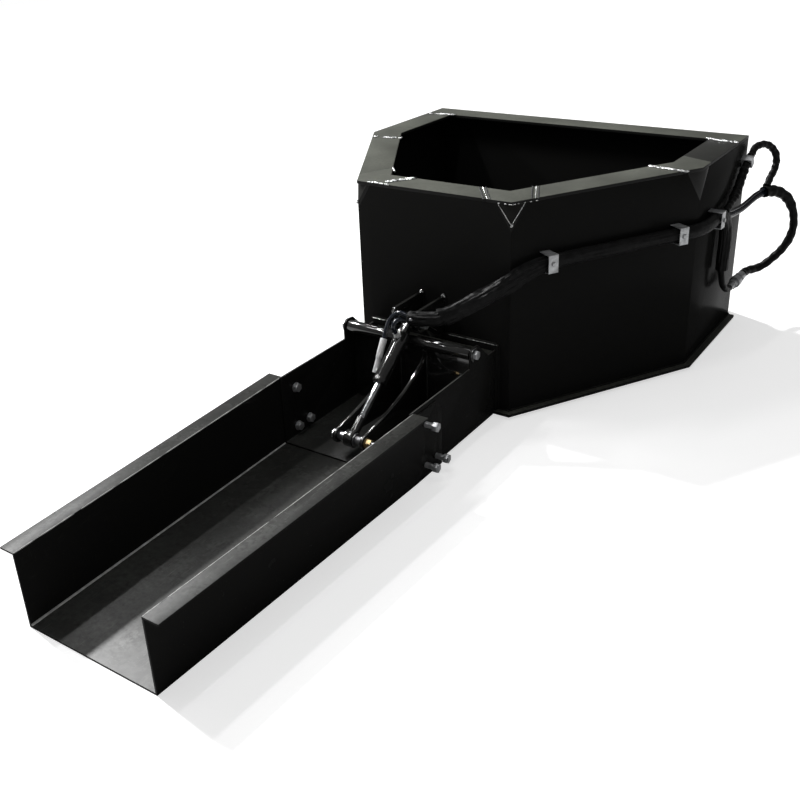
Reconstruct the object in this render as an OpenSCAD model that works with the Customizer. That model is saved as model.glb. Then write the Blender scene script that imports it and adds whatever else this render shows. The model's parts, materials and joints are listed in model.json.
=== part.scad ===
// Concrete hopper with a bolted discharge chute and a hydraulic flap gate.
// Millimetres. X is across, the chute points along -Y and +Z is up.
// The origin is on the underside of the floor plate, under the middle of the front plate.
// Every piece is drawn up from the ground, and on_ground() then puts it in its place.

/* [Hopper] */
// Width of the hopper at its back
hopper_w = 1220; // [1180:5:1300]
// Width of the narrow front plate
front_w = 530; // [510:2:560]
// Distance from the front plate to the fold in the side walls
fold_y = 590; // [560:2:640]
// Depth of the hopper from front plate to back plate
hopper_d = 1075; // [1060:2:1140]
// Height from the floor plate's underside to the top of the rim
hopper_h = 667; // [640:1:720]
// Thickness of the wall plates
wall_t = 6; // [4:0.5:8]
// Thickness of the floor plate
floor_t = 10; // [8:0.5:14]
// How far the floor plate stands out past the walls
ledge = 22; // [14:1:30]
// Width of the flat rim strips
rim_w = 102; // [80:1:120]
// Thickness of the rim strips
rim_t = 10; // [6:0.5:12]
// Height of the triangular plates that close the cut wall corners
gusset_h = 58; // [40:1:80]
// Reach of those plates along each wall
gusset_reach = 36; // [24:1:46]

/* [Chute] */
// Outside width of the rear chute section
chute_w = 450; // [430:2:464]
// Height of the rear section's walls above the ground
chute_h = 221; // [210:1:226]
// Distance from the front plate to the rear section's front end
chute_rear_l = 480; // [470:2:520]
// Distance from the front plate to the mouth of the front section
chute_l = 1412; // [1300:5:1600]
// Outside width of the front section at its mouth
mouth_w = 406; // [390:2:450]
// Height of the front section's walls at its mouth
mouth_h = 203; // [190:1:215]
// Height of the front section's walls at its joint
joint_h = 219; // [205:1:221]
// Width of the turned-out top flanges
flange_w = 42; // [25:1:55]
// Thickness of the chute plate
chute_t = 5; // [4:0.5:6]
// Length of the joint where the two sections overlap
lap_l = 145; // [130:1:160]

/* [Door frame] */
// Width of the frame plate round the discharge opening
frame_w = 462; // [456:2:500]
// Height of the frame plate's top above the ground
frame_top = 236; // [232:1:244]
// Thickness of the frame plate
frame_t = 10; // [6:0.5:14]

/* [Gate] */
// Height of the pivot shaft above the ground
shaft_z = 258; // [254:1:266]
// Distance from the front plate to the pivot shaft
shaft_y = 141; // [136:1:150]
// Diameter of the pivot shaft
shaft_d = 25; // [20:1:28]
// Outside diameter of the gate's hinge tubes
hinge_tube_d = 38; // [34:1:42]
// Thickness of the gate plate
gate_t = 8; // [6:0.5:10]
// Gap between the gate plate and each chute wall
gate_gap = 5; // [3:0.5:8]
// Distance from the gate's middle to each lever arm's middle
arm_x = 47; // [45:0.5:56]
// Thickness of each lever arm
arm_t = 10; // [6:0.5:12]
// Distance from the front plate to the nose pin
nose_y = 450; // [430:1:470]
// Height of the nose pin above the ground
nose_z = 70; // [66:1:90]
// Diameter of the nose pin's shank
nose_d = 16; // [12:1:18]

/* [Cylinder] */
// Distance from the front plate to the cylinder's base pin
base_y = 128; // [122:1:134]
// Height of the cylinder's base pin above the ground
base_z = 318; // [312:1:326]
// Diameter of the base pin
base_pin_d = 25.4; // [20:0.1:28]
// Outside diameter of the barrel
barrel_d = 44; // [42:0.5:48]
// Bore of the barrel
bore_d = 38; // [34:0.5:40]
// Diameter of the piston rod
rod_d = 22; // [18:0.5:24]
// Length from the base pin to the end of the gland
gland_end = 222; // [218:1:240]
// Thickness of each cylinder lug
lug_t = 10; // [6:0.5:12]

/* [Hoses] */
// Half height of the hose sleeve where it hangs loose
sleeve_rz = 29; // [26:0.5:30]
// Half thickness of the hose sleeve
sleeve_rn = 20; // [16:1:20]
// Radius of the lower hose loop
loop_r = 15; // [12:0.5:16]
// Radius of the upper hose loop
upper_r = 13; // [11:0.5:13.5]
// Radius of the return hose
return_r = 11; // [9:0.5:12]
// Radius of the short hoses at the cylinder
jumper_r = 7; // [6:0.5:8]

/* [Hidden] */
$fn = 48;
run = 0.05;                       // running clearance on radius
hz = 10;                          // underside of the hopper's floor plate
deck = hz + floor_t;              // top of the hopper's floor plate
rim_top = hz + hopper_h;
rim_low = rim_top - rim_t;
bw = hopper_w / 2;
fw = front_w / 2;
plan = [[-fw, 0], [fw, 0], [bw, fold_y], [bw, hopper_d], [-bw, hopper_d], [-bw, fold_y]];
function prev(i) = (i + 5) % 6;
function next(i) = (i + 1) % 6;
function unit(v) = v / norm(v);
function inward(i) = let (d = unit(plan[next(i)] - plan[i])) [-d.y, d.x];

// Corner i of the plan after its two edges move inward by d[prev(i)] and d[i]
function moved(i, d) =
    let (n1 = inward(prev(i)), n2 = inward(i), c = n1 * n2, a = d[prev(i)], b = d[i])
    plan[i] + (n1 * (a - c * b) + n2 * (b - c * a)) / (1 - c * c);
function inset(d) = [for (i = [0:5]) moved(i, d)];
inner = inset([for (i = [0:5]) wall_t]);
rim_in = inset([for (i = [0:5]) rim_w]);
floor_plan = inset([-ledge, -ledge, -ledge, 0, -ledge, -ledge]);

// Where the rim's joints cross its outer and its inner edge
rim_cut_out = 78;
rim_cut_in = 90;
back_cut = 121;
function on_out(i, j) = plan[i] + unit(plan[j] - plan[i]) * rim_cut_out;
function on_in(i, j) = rim_in[i] + unit(rim_in[j] - rim_in[i]) * rim_cut_in;

// Chute
chute_in = chute_w / 2 - chute_t;
chute_lift = chute_t;             // the rear section lies on the front section's floor
chute_floor = chute_lift + chute_t;
lap_y = -chute_rear_l + lap_l;
flange_end = -chute_rear_l + 12;
front_gap = 0.5;
bend_r = 8;
opening_top = chute_h - 6;
bolt_r = 8;
bolt_spots = [[-418, 165], [-366, 40], [-420, 38]];

// Gate and cylinder
shaft_at = [-shaft_y, shaft_z];
nose_at = [-nose_y, nose_z];
base_at = [-base_y, base_z];
gate_back = -shaft_y + 25;
gate_front = gate_back - gate_t;
gate_low = chute_floor + 4;
gate_w = 2 * (chute_in - gate_gap);
tube_in = 32;
ear_r = 23;
ear_rear = 86;
reach = nose_at - base_at;
stroke_l = norm(reach);
lean = atan2(-reach.x, reach.y);
eye_half = 28;
lug_in = 34;
lug_top = 358;
rod_eye_half = 14;
open_pivot = 7.2;                 // clearance of the rod eye round the nose pin
barrel_start = 52;
head_t = 10;

// Hose routes, as points chosen by hand
sleeve_route = [[31, -186, 350], [71, -179.5, 352], [107.5, -162.5, 353], [121.2, -151, 356.4],
    [124.3, -148.5, 357.1], [138, -137, 360.5], [165.5, -111, 375], [192.5, -86, 392.5],
    [221, -63.5, 411], [249, -42, 430.5], [275, -18.5, 450.5], [298.5, 10, 467.5], [319, 43, 478.5],
    [338.5, 78, 484.5], [359, 113, 487], [379.5, 148, 488], [400, 183, 488], [420.5, 218, 488],
    [441, 253, 488], [461, 288, 488], [481.5, 323, 488], [502, 358, 488], [522.5, 393, 488],
    [543.5, 428, 488], [564, 463, 488], [584.5, 497.5, 488], [606, 532.5, 488], [622, 569, 488],
    [632, 609.5, 488.5], [635.5, 651, 489.5], [636, 692, 490.5], [636, 732.5, 489],
    [637.5, 770.5, 476], [639, 797, 445.5], [640, 807.5, 406.5], [640, 808.5, 366], [640, 808, 325.5],
    [640, 808, 285]];
loop_route = [[637, 766, 484], [638, 797.5, 477], [639, 829, 470], [640, 860.5, 465], [641.5, 892.5, 462],
    [643, 925, 459.5], [646, 957, 460], [651, 988.5, 465], [657, 1019, 472], [663, 1050.5, 477.5],
    [670.5, 1081.5, 480], [681.5, 1111.5, 481], [698.5, 1139, 478], [719, 1161.5, 468],
    [739.5, 1177, 449], [755, 1185, 422], [765.5, 1187.5, 392], [770.5, 1187, 360], [770, 1185.5, 328],
    [762.5, 1183, 296.5], [749, 1180, 267.5], [731.5, 1175.5, 241], [711.5, 1169, 216.5],
    [691, 1155, 196.5], [670.5, 1132.5, 187.5], [656, 1104, 189], [650.5, 1072, 190], [650, 1040, 190]];
rim_drawn = 677;                  // height of the rim at which the next two routes were drawn
riser_drawn = [[637, 790, 486], [636.5, 811, 492.5], [636, 832.5, 498.5], [635, 854, 502.5],
    [633.5, 875.5, 507.5], [632.5, 896.5, 514], [631.5, 917, 522], [630, 937, 532], [629.5, 954.5, 545.5],
    [629, 971, 560.5], [629, 987.5, 574.5], [629, 1005, 588], [629, 1023.5, 600.5], [629, 1043, 610.5],
    [630, 1064, 618]];
upper_drawn = [[629, 1035, 607], [629.5, 1052, 613.5], [630, 1069, 620], [629, 1085.5, 627.5],
    [631, 1102.5, 633.5], [637, 1119.5, 636], [644.5, 1136, 637], [653.5, 1151.5, 634],
    [663, 1164.5, 625.5], [672, 1174.5, 614], [680, 1181, 599], [684.5, 1183.5, 581.5],
    [686, 1180.5, 564], [685, 1172.5, 547.5], [682, 1162.5, 532.5], [679, 1150.5, 519.5],
    [678, 1136.5, 507.5], [677, 1122, 497]];
// A route whose height follows the rim by the share f0 at its start and f1 at its end
function follow(route, f0, f1) = [for (i = [0:len(route) - 1])
    route[i] + [0, 0, (rim_top - rim_drawn) * (f0 + (f1 - f0) * i / (len(route) - 1))]];
riser_route = follow(riser_drawn, 0, 1);
upper_route = follow(upper_drawn, 1, 0);
return_route = [[650, 896, 190], [649.2, 885.2, 191.1], [648.4, 874.6, 192.7], [647.7, 864.3, 195.9],
    [646.9, 854.5, 200.4], [646.1, 845.3, 206.1], [645.3, 836.8, 212.9], [644.5, 829.3, 220.6],
    [643.7, 822.8, 229.2], [643, 817.4, 238.5], [642.2, 813.1, 248.5], [641.4, 810.2, 258.9],
    [640.5, 808.7, 269.5], [639.9, 807.9, 280.3], [640, 808, 291.2], [640, 808, 302]];
rod_jumper_route = [[28, -190, 358], [20, -190.5, 361], [6, -191, 363], [-10, -195, 356], [-24, -204, 334],
    [-30.5, -216, 302], [-30.5, -224.8, 286.3]];
base_jumper_route = [[28, -184, 340], [20, -186, 342], [10, -193, 344], [3, -206, 343], [0, -216, 333],
    [0, -217, 318], [0, -208.7, 306.4]];
// Radii of the sleeve: a cuff, a loose front part, a tight part in the clamps and a loose hanging end
function sleeve_scale(i) = i < 4 ? 0.74 : i < 11 ? 1 : i < 16 ? 1 - (i - 10) * 0.05 : i < 32 ? 0.75 : 0.9;
function sleeve_flat(i) = i < 4 ? 0.84 : i < 11 ? 1 : i < 32 ? 0.85 : i < 34 ? 1 : 1.1;
sleeve_rn_fit = [for (i = [0:len(sleeve_route) - 1]) sleeve_rn * sleeve_flat(i)];
sleeve_rz_fit = [for (i = [0:len(sleeve_route) - 1]) sleeve_rz * sleeve_scale(i)];
// The two hoses of the lower loop are wrapped together past the wall, loosely at first
loop_scale = [for (i = [0:len(loop_route) - 1]) i < 11 ? 1 : i < 14 ? 1.5 : i < 16 ? 1.2 : 1];
riser_scale = [for (i = [0:len(riser_route) - 1]) i < 4 ? 1 : i < 11 ? 1.3 : 1];
clamp_s = [114, 590];             // places of the first two clamps along the angled plate
clamp_z = 488;
clamp_side_y = 700;
coupler_x = 650;
coupler_z = 190;
park_i = 12;                      // point of the riser where its clamp stands

// Helpers
module on_ground() translate([0, 0, -hz]) children();
module along_x(x0, x1, r) translate([x0, 0, 0]) rotate([0, 90, 0]) cylinder(r = r, h = x1 - x0);
module at_yz(p) translate([0, p.x, p.y]) children();
module hex_x(x0, x1, across) translate([x0, 0, 0]) rotate([0, 90, 0])
    cylinder(d = across / cos(30), h = x1 - x0, $fn = 6);
module both_sides() for (s = [0, 1]) mirror([s, 0, 0]) children();
// A plate from an outline in the YZ plane, between two places along X
module side_cut(x0, x1) multmatrix([[0, 0, 1, x0], [1, 0, 0, 0], [0, 1, 0, 0], [0, 0, 0, 1]])
    linear_extrude(x1 - x0) children();
// A plate from an outline in the XZ plane, from y0 back to y1
module front_cut(y0, y1) translate([0, y1, 0]) rotate([90, 0, 0]) linear_extrude(y1 - y0) children();
// The frame of the cylinder: +Z runs from the base pin to the nose pin
module on_cylinder() at_yz(base_at) rotate([lean, 0, 0]) children();

// A ring of points round p, square to the direction t
function ring(p, side, up, a, b, n) =
    [for (k = [0:n - 1]) p + side * (a * cos(360 * k / n)) + up * (b * sin(360 * k / n))];
function heading(route, i) = unit(
    i == 0 ? route[1] - route[0] :
    i == len(route) - 1 ? route[i] - route[i - 1] :
    unit(route[i + 1] - route[i]) + unit(route[i] - route[i - 1]));
function square_to(v, t) = unit(v - t * (v * t));
// Side directions that turn as little as they can along the route
function sides(route, first) = [for (i = 0, s = square_to(first, heading(route, 0)); i < len(route);
    i = i + 1, s = i < len(route) ? square_to(s, heading(route, i)) : s) s];
function at_point(v, i) = is_list(v) ? v[i] : v;
// A closed tube along the route; its radii a and b are numbers, or lists with one for each point
module hose(route, a, b, first, n) {
    s = sides(route, first);
    m = len(route);
    pts = [for (i = [0:m - 1]) let (t = heading(route, i))
        each ring(route[i], s[i], cross(t, s[i]), at_point(a, i), at_point(b, i), n)];
    walls = [for (i = [0:m - 2], k = [0:n - 1]) let (p = i * n + k, q = i * n + (k + 1) % n)
        each [[p, p + n, q + n], [p, q + n, q]]];
    caps = [[for (k = [0:n - 1]) k], [for (k = [n - 1:-1:0]) (m - 1) * n + k]];
    polyhedron(points = pts, faces = concat(walls, caps), convexity = 6);
}

// Hopper shell
module corner_frame(i) {
    u1 = unit(plan[prev(i)] - plan[i]);
    u2 = unit(plan[next(i)] - plan[i]);
    m = unit(u1 + u2);
    translate([plan[i].x, plan[i].y, rim_low - gusset_h]) rotate([0, 0, atan2(m.y, m.x)])
        rotate([0, atan(gusset_reach * (u1 * m) / gusset_h), 0]) children();
}
module corner_slab(x0) translate([x0, -100, -40]) cube([wall_t - x0, 200, 200]);
gusset_corners = [0, 1, 2, 5];
module wall(i) color("#17181a") difference() {
    translate([0, 0, deck]) linear_extrude(rim_low - deck)
        polygon([plan[i], plan[next(i)], inner[next(i)], inner[i]]);
    for (c = gusset_corners) if (c == i || c == next(i)) corner_frame(c) corner_slab(-120);
}
module discharge_opening() translate([-chute_in, -50, 0]) cube([2 * chute_in, 100, opening_top]);
module front_plate() color("#17181a") difference() {
    wall(0);
    discharge_opening();
}
module angled_plate_right() wall(1);
module side_plate_right() wall(2);
module back_plate() wall(3);
module side_plate_left() wall(4);
module angled_plate_left() wall(5);
module floor_plate() color("#17181a") translate([0, 0, hz]) linear_extrude(floor_t) polygon(floor_plan);
module corner_gussets() color("#1c1d20") intersection() {
    translate([0, 0, deck]) linear_extrude(rim_low - deck) polygon(plan);
    for (c = gusset_corners) corner_frame(c) corner_slab(0);
}

// Rim
module rim_strip(points) color("#24262a") translate([0, 0, rim_low]) linear_extrude(rim_t) polygon(points);
module rim_corner(i) rim_strip([on_out(i, prev(i)), plan[i], on_out(i, next(i)),
    on_in(i, next(i)), rim_in[i], on_in(i, prev(i))]);
module rim_between(i, j) rim_strip([on_out(i, j), on_out(j, i), on_in(j, i), on_in(i, j)]);
module rim_front() rim_between(0, 1);
module rim_corner_pieces() for (i = gusset_corners) rim_corner(i);
module rim_angled_right() rim_between(1, 2);
module rim_angled_left() rim_between(0, 5);
module rim_side_right() rim_strip([on_out(2, 3), [bw, hopper_d - back_cut], rim_in[3], on_in(2, 3)]);
module rim_side_left() mirror([1, 0, 0]) rim_side_right();
module rim_back() rim_strip([rim_in[4], rim_in[3], [bw, hopper_d - back_cut], plan[3], plan[4],
    [-bw, hopper_d - back_cut]]);

// Quick-attach face for the carrier, on the hidden back
attach_half = 572;
attach_t = 8;
attach_top = 442;
attach_y = hopper_d + attach_t;
hook_t = 10;
hook_l = 62;
ledge_l = 84;
ledge_top = 74;
slot_x = 483;
slot_w = 82;
slot_y = 24;
slot_l = 34;
rib_t = 8;
rib_reach = 40;
rib_low = 190;
rib_top = 260;
rib_xs = [-attach_half, -200, 200 - rib_t, attach_half - rib_t];
module attach_plate() color("#17181a") translate([-attach_half, hopper_d, 0])
    cube([2 * attach_half, attach_t, attach_top]);
module attach_hook() color("#17181a") side_cut(-attach_half, attach_half)
    polygon([[attach_y, attach_top], [attach_y, attach_top - hook_t * sqrt(2)],
        [attach_y + (hook_l - hook_t) / sqrt(2), attach_top - (hook_l + hook_t) / sqrt(2)],
        [attach_y + hook_l / sqrt(2), attach_top - hook_l / sqrt(2)]]);
ledge_drop = 30;
ledge_low = ledge_top - hook_t / cos(ledge_drop);
ledge_y = attach_y + ledge_l * cos(ledge_drop);
ledge_fall = ledge_l * sin(ledge_drop);
module attach_ledge() color("#17181a") difference() {
    side_cut(-attach_half, attach_half)
        polygon([[attach_y, ledge_top], [attach_y, ledge_low], [ledge_y, ledge_low - ledge_fall],
            [ledge_y, ledge_top - ledge_fall]]);
    both_sides() translate([slot_x - slot_w / 2, attach_y + slot_y, 0]) cube([slot_w, slot_l, ledge_top]);
}
module attach_ribs() color("#17181a") for (x = rib_xs) side_cut(x, x + rib_t)
    polygon([[attach_y, ledge_top], [ledge_y, ledge_top - ledge_fall], [attach_y + rib_reach, rib_low],
        [attach_y, rib_top]]);

// Door frame and chute
frame_corner = 3;
module rounded_top(w, z0, z1, r) {
    translate([-w / 2, z0]) square([w, z1 - z0 - r]);
    translate([-w / 2 + r, z0]) square([w - 2 * r, z1 - z0]);
    for (s = [-1, 1]) translate([s * (w / 2 - r), z1 - r]) circle(r);
}
module door_frame() color("#17181a") difference() {
    front_cut(-frame_t, 0) rounded_top(frame_w, deck, frame_top, frame_corner);
    discharge_opening();
}
module trough_outline(w, h, r) {
    translate([-w / 2, r]) square([w, h - r]);
    translate([-w / 2 + r, 0]) square([w - 2 * r, h]);
    for (s = [-1, 1]) translate([s * (w / 2 - r), r]) circle(r);
}
module trough(w, h) difference() {
    trough_outline(w, h, bend_r);
    translate([0, chute_t]) trough_outline(w - 2 * chute_t, h, bend_r - chute_t);
}
module bolt_bores(r) for (p = bolt_spots) at_yz(p) along_x(-300, 300, r);
module ear() side_cut(chute_in, chute_w / 2) {
    translate(shaft_at) circle(ear_r);
    polygon([[-shaft_y - ear_r, chute_h - 1], [-shaft_y - ear_r, shaft_z], [-shaft_y, shaft_z + ear_r],
        [-shaft_y + ear_r, shaft_z + ear_r - 2], [-shaft_y + ear_rear, chute_h - 1]]);
}
module chute_rear() color("#1a1b1e") difference() {
    union() {
        front_cut(-chute_rear_l, -ledge) translate([0, chute_lift]) trough(chute_w, chute_h - chute_lift);
        translate([-chute_w / 2 + bend_r, -ledge - chute_t, chute_lift])
            cube([chute_w - 2 * bend_r, chute_t, deck - chute_lift]);
        both_sides() translate([chute_in, -ledge, deck]) cube([chute_t, ledge - frame_t, chute_h - deck]);
        both_sides() ear();
    }
    at_yz(shaft_at) along_x(-300, 300, shaft_d / 2 + run);
    bolt_bores(bolt_r + run);
}
// The front section: a tapered floor, and side walls whose tops turn out into flanges
joint_half = chute_w / 2 + front_gap + chute_t;
mouth_half = mouth_w / 2;
lap_drop = 12;
lap_cut = 25;
module front_floor() linear_extrude(chute_t)
    polygon([[-mouth_half, -chute_l], [mouth_half, -chute_l], [joint_half, flange_end], [joint_half, lap_y],
        [-joint_half, lap_y], [-joint_half, flange_end]]);
// A strip along the tapered side, between two distances out from the wall's outer face
module taper_strip(x0, x1) linear_extrude(joint_h) polygon([[mouth_half + x0, -chute_l],
    [mouth_half + x1, -chute_l], [joint_half + x1, flange_end], [joint_half + x0, flange_end]]);
// All that lies at most this far under the side's sloping top
module under_top(depth_mouth, depth_joint) side_cut(-2 * joint_half, 2 * joint_half)
    polygon([[-chute_l, mouth_h - depth_mouth], [flange_end, joint_h - depth_joint], [flange_end, joint_h],
        [-chute_l, mouth_h]]);
module front_side() {
    intersection() {
        taper_strip(-chute_t, 0);
        under_top(mouth_h, joint_h);
    }
    intersection() {
        taper_strip(-chute_t, flange_w);
        under_top(chute_t, chute_t);
    }
    lap_h = joint_h - lap_drop;
    side_cut(joint_half - chute_t, joint_half) polygon([[flange_end, 0], [lap_y, 0], [lap_y, lap_h - lap_cut],
        [lap_y - lap_cut, lap_h], [flange_end, lap_h]]);
}
module chute_front() color("#1f2124") difference() {
    union() {
        front_floor();
        both_sides() front_side();
    }
    bolt_bores(bolt_r + run);
}
wall_out = chute_w / 2 + front_gap + chute_t;
bolt_hex = 24;
washer_t = 3;
nut_at = [27, 41];                // the nuts stand off on the threads, out from the wall
module on_bolts() for (p = bolt_spots) both_sides() at_yz(p) children();
module chute_bolts() color("#c9ccd0") on_bolts() {
    hex_x(chute_in - washer_t - head_t, chute_in - washer_t, bolt_hex);
    along_x(chute_in - washer_t, wall_out + nut_at[1] + 2, bolt_r);
}
module chute_washers() color("#c4c7cb") on_bolts() difference() {
    along_x(chute_in - washer_t, chute_in, 15);
    along_x(chute_in - washer_t - 1, chute_in + 1, bolt_r + run);
}
module chute_nuts() color("#c9ccd0") on_bolts() difference() {
    hex_x(wall_out + nut_at[0], wall_out + nut_at[1], bolt_hex);
    along_x(wall_out, wall_out + nut_at[1] + 1, bolt_r + run);
}

// Pivot shaft
shaft_half = chute_w / 2;
tap_r = 8;
shaft_washer_r = 22;
module pivot_shaft() color("#2a2c30") at_yz(shaft_at) difference() {
    along_x(-shaft_half, shaft_half, shaft_d / 2);
    both_sides() along_x(shaft_half - 34, shaft_half + 1, tap_r + run);
}
module shaft_washers() color("#3a3c40") at_yz(shaft_at) both_sides() difference() {
    along_x(shaft_half, shaft_half + washer_t, shaft_washer_r);
    along_x(shaft_half - 1, shaft_half + washer_t + 1, tap_r + run);
}
module shaft_bolts() color("#b9bcc0") at_yz(shaft_at) both_sides() {
    hex_x(shaft_half + washer_t, shaft_half + washer_t + head_t, bolt_hex);
    along_x(shaft_half - 30, shaft_half + washer_t, tap_r);
}

// Cylinder lugs and base pin
module lug() side_cut(lug_in, lug_in + lug_t) difference() {
    union() {
        polygon([[0, frame_top + 2], [-74, frame_top + 12], [-104, base_z - 32], [base_at.x, base_z - 30],
            [base_at.x - 24, base_z - 22], [base_at.x - 32, base_z], [base_at.x - 32, lug_top - 8],
            [base_at.x - 24, lug_top], [0, lug_top]]);
        translate(base_at) circle(32);
    }
    translate(base_at) circle(base_pin_d / 2 + run);
}
module cylinder_lugs() color("#1a1b1e") both_sides() lug();
lug_out = lug_in + lug_t;
module base_pin() color("#b9bcc0") at_yz(base_at) {
    hex_x(-lug_out - 12, -lug_out, 36);
    along_x(-lug_out, lug_out + 20, base_pin_d / 2);
}
module base_pin_nut() color("#b9bcc0") at_yz(base_at) difference() {
    hex_x(lug_out, lug_out + 16, 36);
    along_x(lug_out - 1, lug_out + 17, base_pin_d / 2 + run);
}

// Gate
module gate_plate() color("#141518") difference() {
    translate([-gate_w / 2, gate_front, gate_low]) cube([gate_w, gate_t, shaft_z + 4 - gate_low]);
    at_yz(shaft_at) along_x(-300, 300, hinge_tube_d / 2);
}
module gate_hinge_tubes() color("#1c1d20") at_yz(shaft_at) both_sides() difference() {
    along_x(tube_in, gate_w / 2, hinge_tube_d / 2);
    along_x(tube_in - 1, gate_w / 2 + 1, shaft_d / 2 + run);
}
// The lever arm's hollow top edge, from the gate plate down to the nose
arm_top = [gate_front, shaft_z - 42];
arm_hollow = [-200, 130];
arm_eye_r = 22;
arm_tip = [nose_at.x, nose_at.y + arm_eye_r];
function bezier(a, b, c, t) = a * (1 - t) * (1 - t) + b * 2 * t * (1 - t) + c * t * t;
module arm_outline() difference() {
    union() {
        polygon(concat([for (t = [0:1 / 16:1]) bezier(arm_top, arm_hollow, arm_tip, t)],
            [[nose_at.x, nose_at.y - arm_eye_r], [gate_front - 40, gate_low + 16],
                [gate_front, gate_low + 16]]));
        translate(nose_at) circle(arm_eye_r);
    }
    translate(nose_at) circle(nose_d / 2 + run);
}
module gate_arm_right() color("#1c1d20") side_cut(arm_x - arm_t / 2, arm_x + arm_t / 2) arm_outline();
module gate_arm_left() mirror([1, 0, 0]) gate_arm_right();
arm_out = arm_x + arm_t / 2;
module nose_pin() color("#b9bcc0") at_yz(nose_at) {
    hex_x(-arm_out - head_t, -arm_out, bolt_hex);
    along_x(-arm_out, arm_out + 42, nose_d / 2);
}
module nose_pin_nut() color("#c8a04a") at_yz(nose_at) difference() {
    union() {
        along_x(arm_out, arm_out + washer_t, 16);
        hex_x(arm_out + washer_t, arm_out + 19, bolt_hex);
    }
    along_x(arm_out - 1, arm_out + 20, nose_d / 2 + run);
}
module nose_spacers() color("#8d9094") at_yz(nose_at) both_sides() difference() {
    union() {
        along_x(rod_eye_half + 0.6, rod_eye_half + 4.6, 20);
        along_x(rod_eye_half + 0.6, arm_x - arm_t / 2, 13);
    }
    along_x(rod_eye_half, arm_x, nose_d / 2 + run);
}

// Hydraulic cylinder, in its own frame
module tube_z(z0, z1, r_out, r_in) difference() {
    translate([0, 0, z0]) cylinder(r = r_out, h = z1 - z0);
    translate([0, 0, z0 - 1]) cylinder(r = r_in, h = z1 - z0 + 2);
}
gland_flange = 14;
spigot = 14;
barrel_end = gland_end - gland_flange;
cap_t = 12;
rod_port_z = barrel_end - spigot - 9;
base_port_z = barrel_start + cap_t + 7;
port_r = 6;
module cylinder_barrel() color("#1c1d20") on_cylinder() difference() {
    union() {
        translate([0, 0, barrel_start]) cylinder(d = barrel_d, h = barrel_end - barrel_start);
        along_x(-eye_half, eye_half, 20);
        translate([-12, -12, 10]) cube([24, 24, barrel_start - 8]);
    }
    translate([0, 0, barrel_start + cap_t]) cylinder(d = bore_d, h = barrel_end);
    along_x(-eye_half - 1, eye_half + 1, base_pin_d / 2 + run);
    translate([0, 0, rod_port_z]) along_x(-40, 0, port_r + run);
    translate([0, 0, base_port_z]) rotate([-90, 0, 0]) cylinder(r = port_r + run, h = 40);
}
seal_z = gland_end - 7;
seal_h = 4;
seal_r = rod_d / 2 + 3;
module cylinder_gland() color("#2a2c30") on_cylinder() difference() {
    union() {
        translate([0, 0, barrel_end]) cylinder(d = barrel_d, h = gland_flange);
        translate([0, 0, barrel_end - spigot]) cylinder(d = bore_d, h = spigot);
    }
    translate([0, 0, barrel_end - spigot - 1]) cylinder(r = rod_d / 2 + run, h = 60);
    translate([0, 0, seal_z]) cylinder(r = seal_r, h = seal_h);
}
module rod_seal() color("#3a3a3c") on_cylinder() tube_z(seal_z, seal_z + seal_h, seal_r, rod_d / 2 + run);
hose_tilt = 201.5;                // turns a hose end back up along the barrel
elbow_x = -30.5;
elbow_r = 8;
module rod_port_fitting() color("#c9ccd0") on_cylinder() {
    translate([0, 0, rod_port_z]) along_x(-barrel_d / 2 - 8, -barrel_d / 2 + 2, port_r);
    translate([0, 0, rod_port_z]) along_x(elbow_x, -barrel_d / 2 - 1, elbow_r - 0.5);
    translate([elbow_x, 0, rod_port_z]) rotate([hose_tilt, 0, 0]) {
        translate([0, 0, -elbow_r]) cylinder(r = elbow_r, h = elbow_r + 38);
        translate([0, 0, 36]) cylinder(d = 22, h = 14, $fn = 6);
        translate([0, 0, 50]) cylinder(r = 10, h = hose_end_l - 50);
    }
}
// Where the two short hoses start at the cylinder
rod_hose_end = [96, 34];
hose_end_l = norm([rod_port_z - rod_hose_end[0], rod_hose_end[1]]);
base_hose_top = 40;
module base_port_fitting() color("#b9bcc0") on_cylinder() translate([0, 0, base_port_z]) rotate([-90, 0, 0]) {
    translate([0, 0, barrel_d / 2 - 2]) cylinder(r = port_r, h = 6);
    translate([0, 0, barrel_d / 2 + 0.3]) cylinder(d = 22, h = 8, $fn = 6);
    translate([0, 0, barrel_d / 2 + 8]) cylinder(r = 8, h = base_hose_top - barrel_d / 2 - 8);
}
piston_front = 178;
piston_l = 20;
step_r = 8;
rod_end = stroke_l - 56;
module piston_rod() color("#e6e9ec") on_cylinder() {
    translate([0, 0, piston_front]) cylinder(d = rod_d, h = rod_end - piston_front);
    translate([0, 0, piston_front - piston_l - 18]) cylinder(r = step_r, h = piston_l + 18);
}
groove_z = piston_front - piston_l / 2 - 3;
groove_r = bore_d / 2 - 3;
module piston() color("#a8abaf") on_cylinder() difference() {
    tube_z(piston_front - piston_l, piston_front, bore_d / 2 - run, step_r);
    tube_z(groove_z, groove_z + 6, bore_d, groove_r);
}
module piston_seal() color("#2c2c2e") on_cylinder() tube_z(groove_z, groove_z + 6, bore_d / 2 - run, groove_r);
module piston_nut() color("#b9bcc0") on_cylinder() difference() {
    translate([0, 0, piston_front - piston_l - 12]) cylinder(d = 27, h = 12, $fn = 6);
    translate([0, 0, piston_front - piston_l - 13]) cylinder(r = step_r, h = 14);
}
module rod_eye() color("#1f2124") on_cylinder() difference() {
    union() {
        translate([0, 0, rod_end - 10]) cylinder(r = rod_eye_half, h = 46);
        translate([0, 0, stroke_l]) along_x(-rod_eye_half, rod_eye_half, nose_d / 2 + open_pivot + 9);
    }
    translate([0, 0, rod_end - 11]) cylinder(r = rod_d / 2 + run, h = 11);
    translate([0, 0, stroke_l]) along_x(-30, 30, nose_d / 2 + open_pivot);
}

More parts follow.
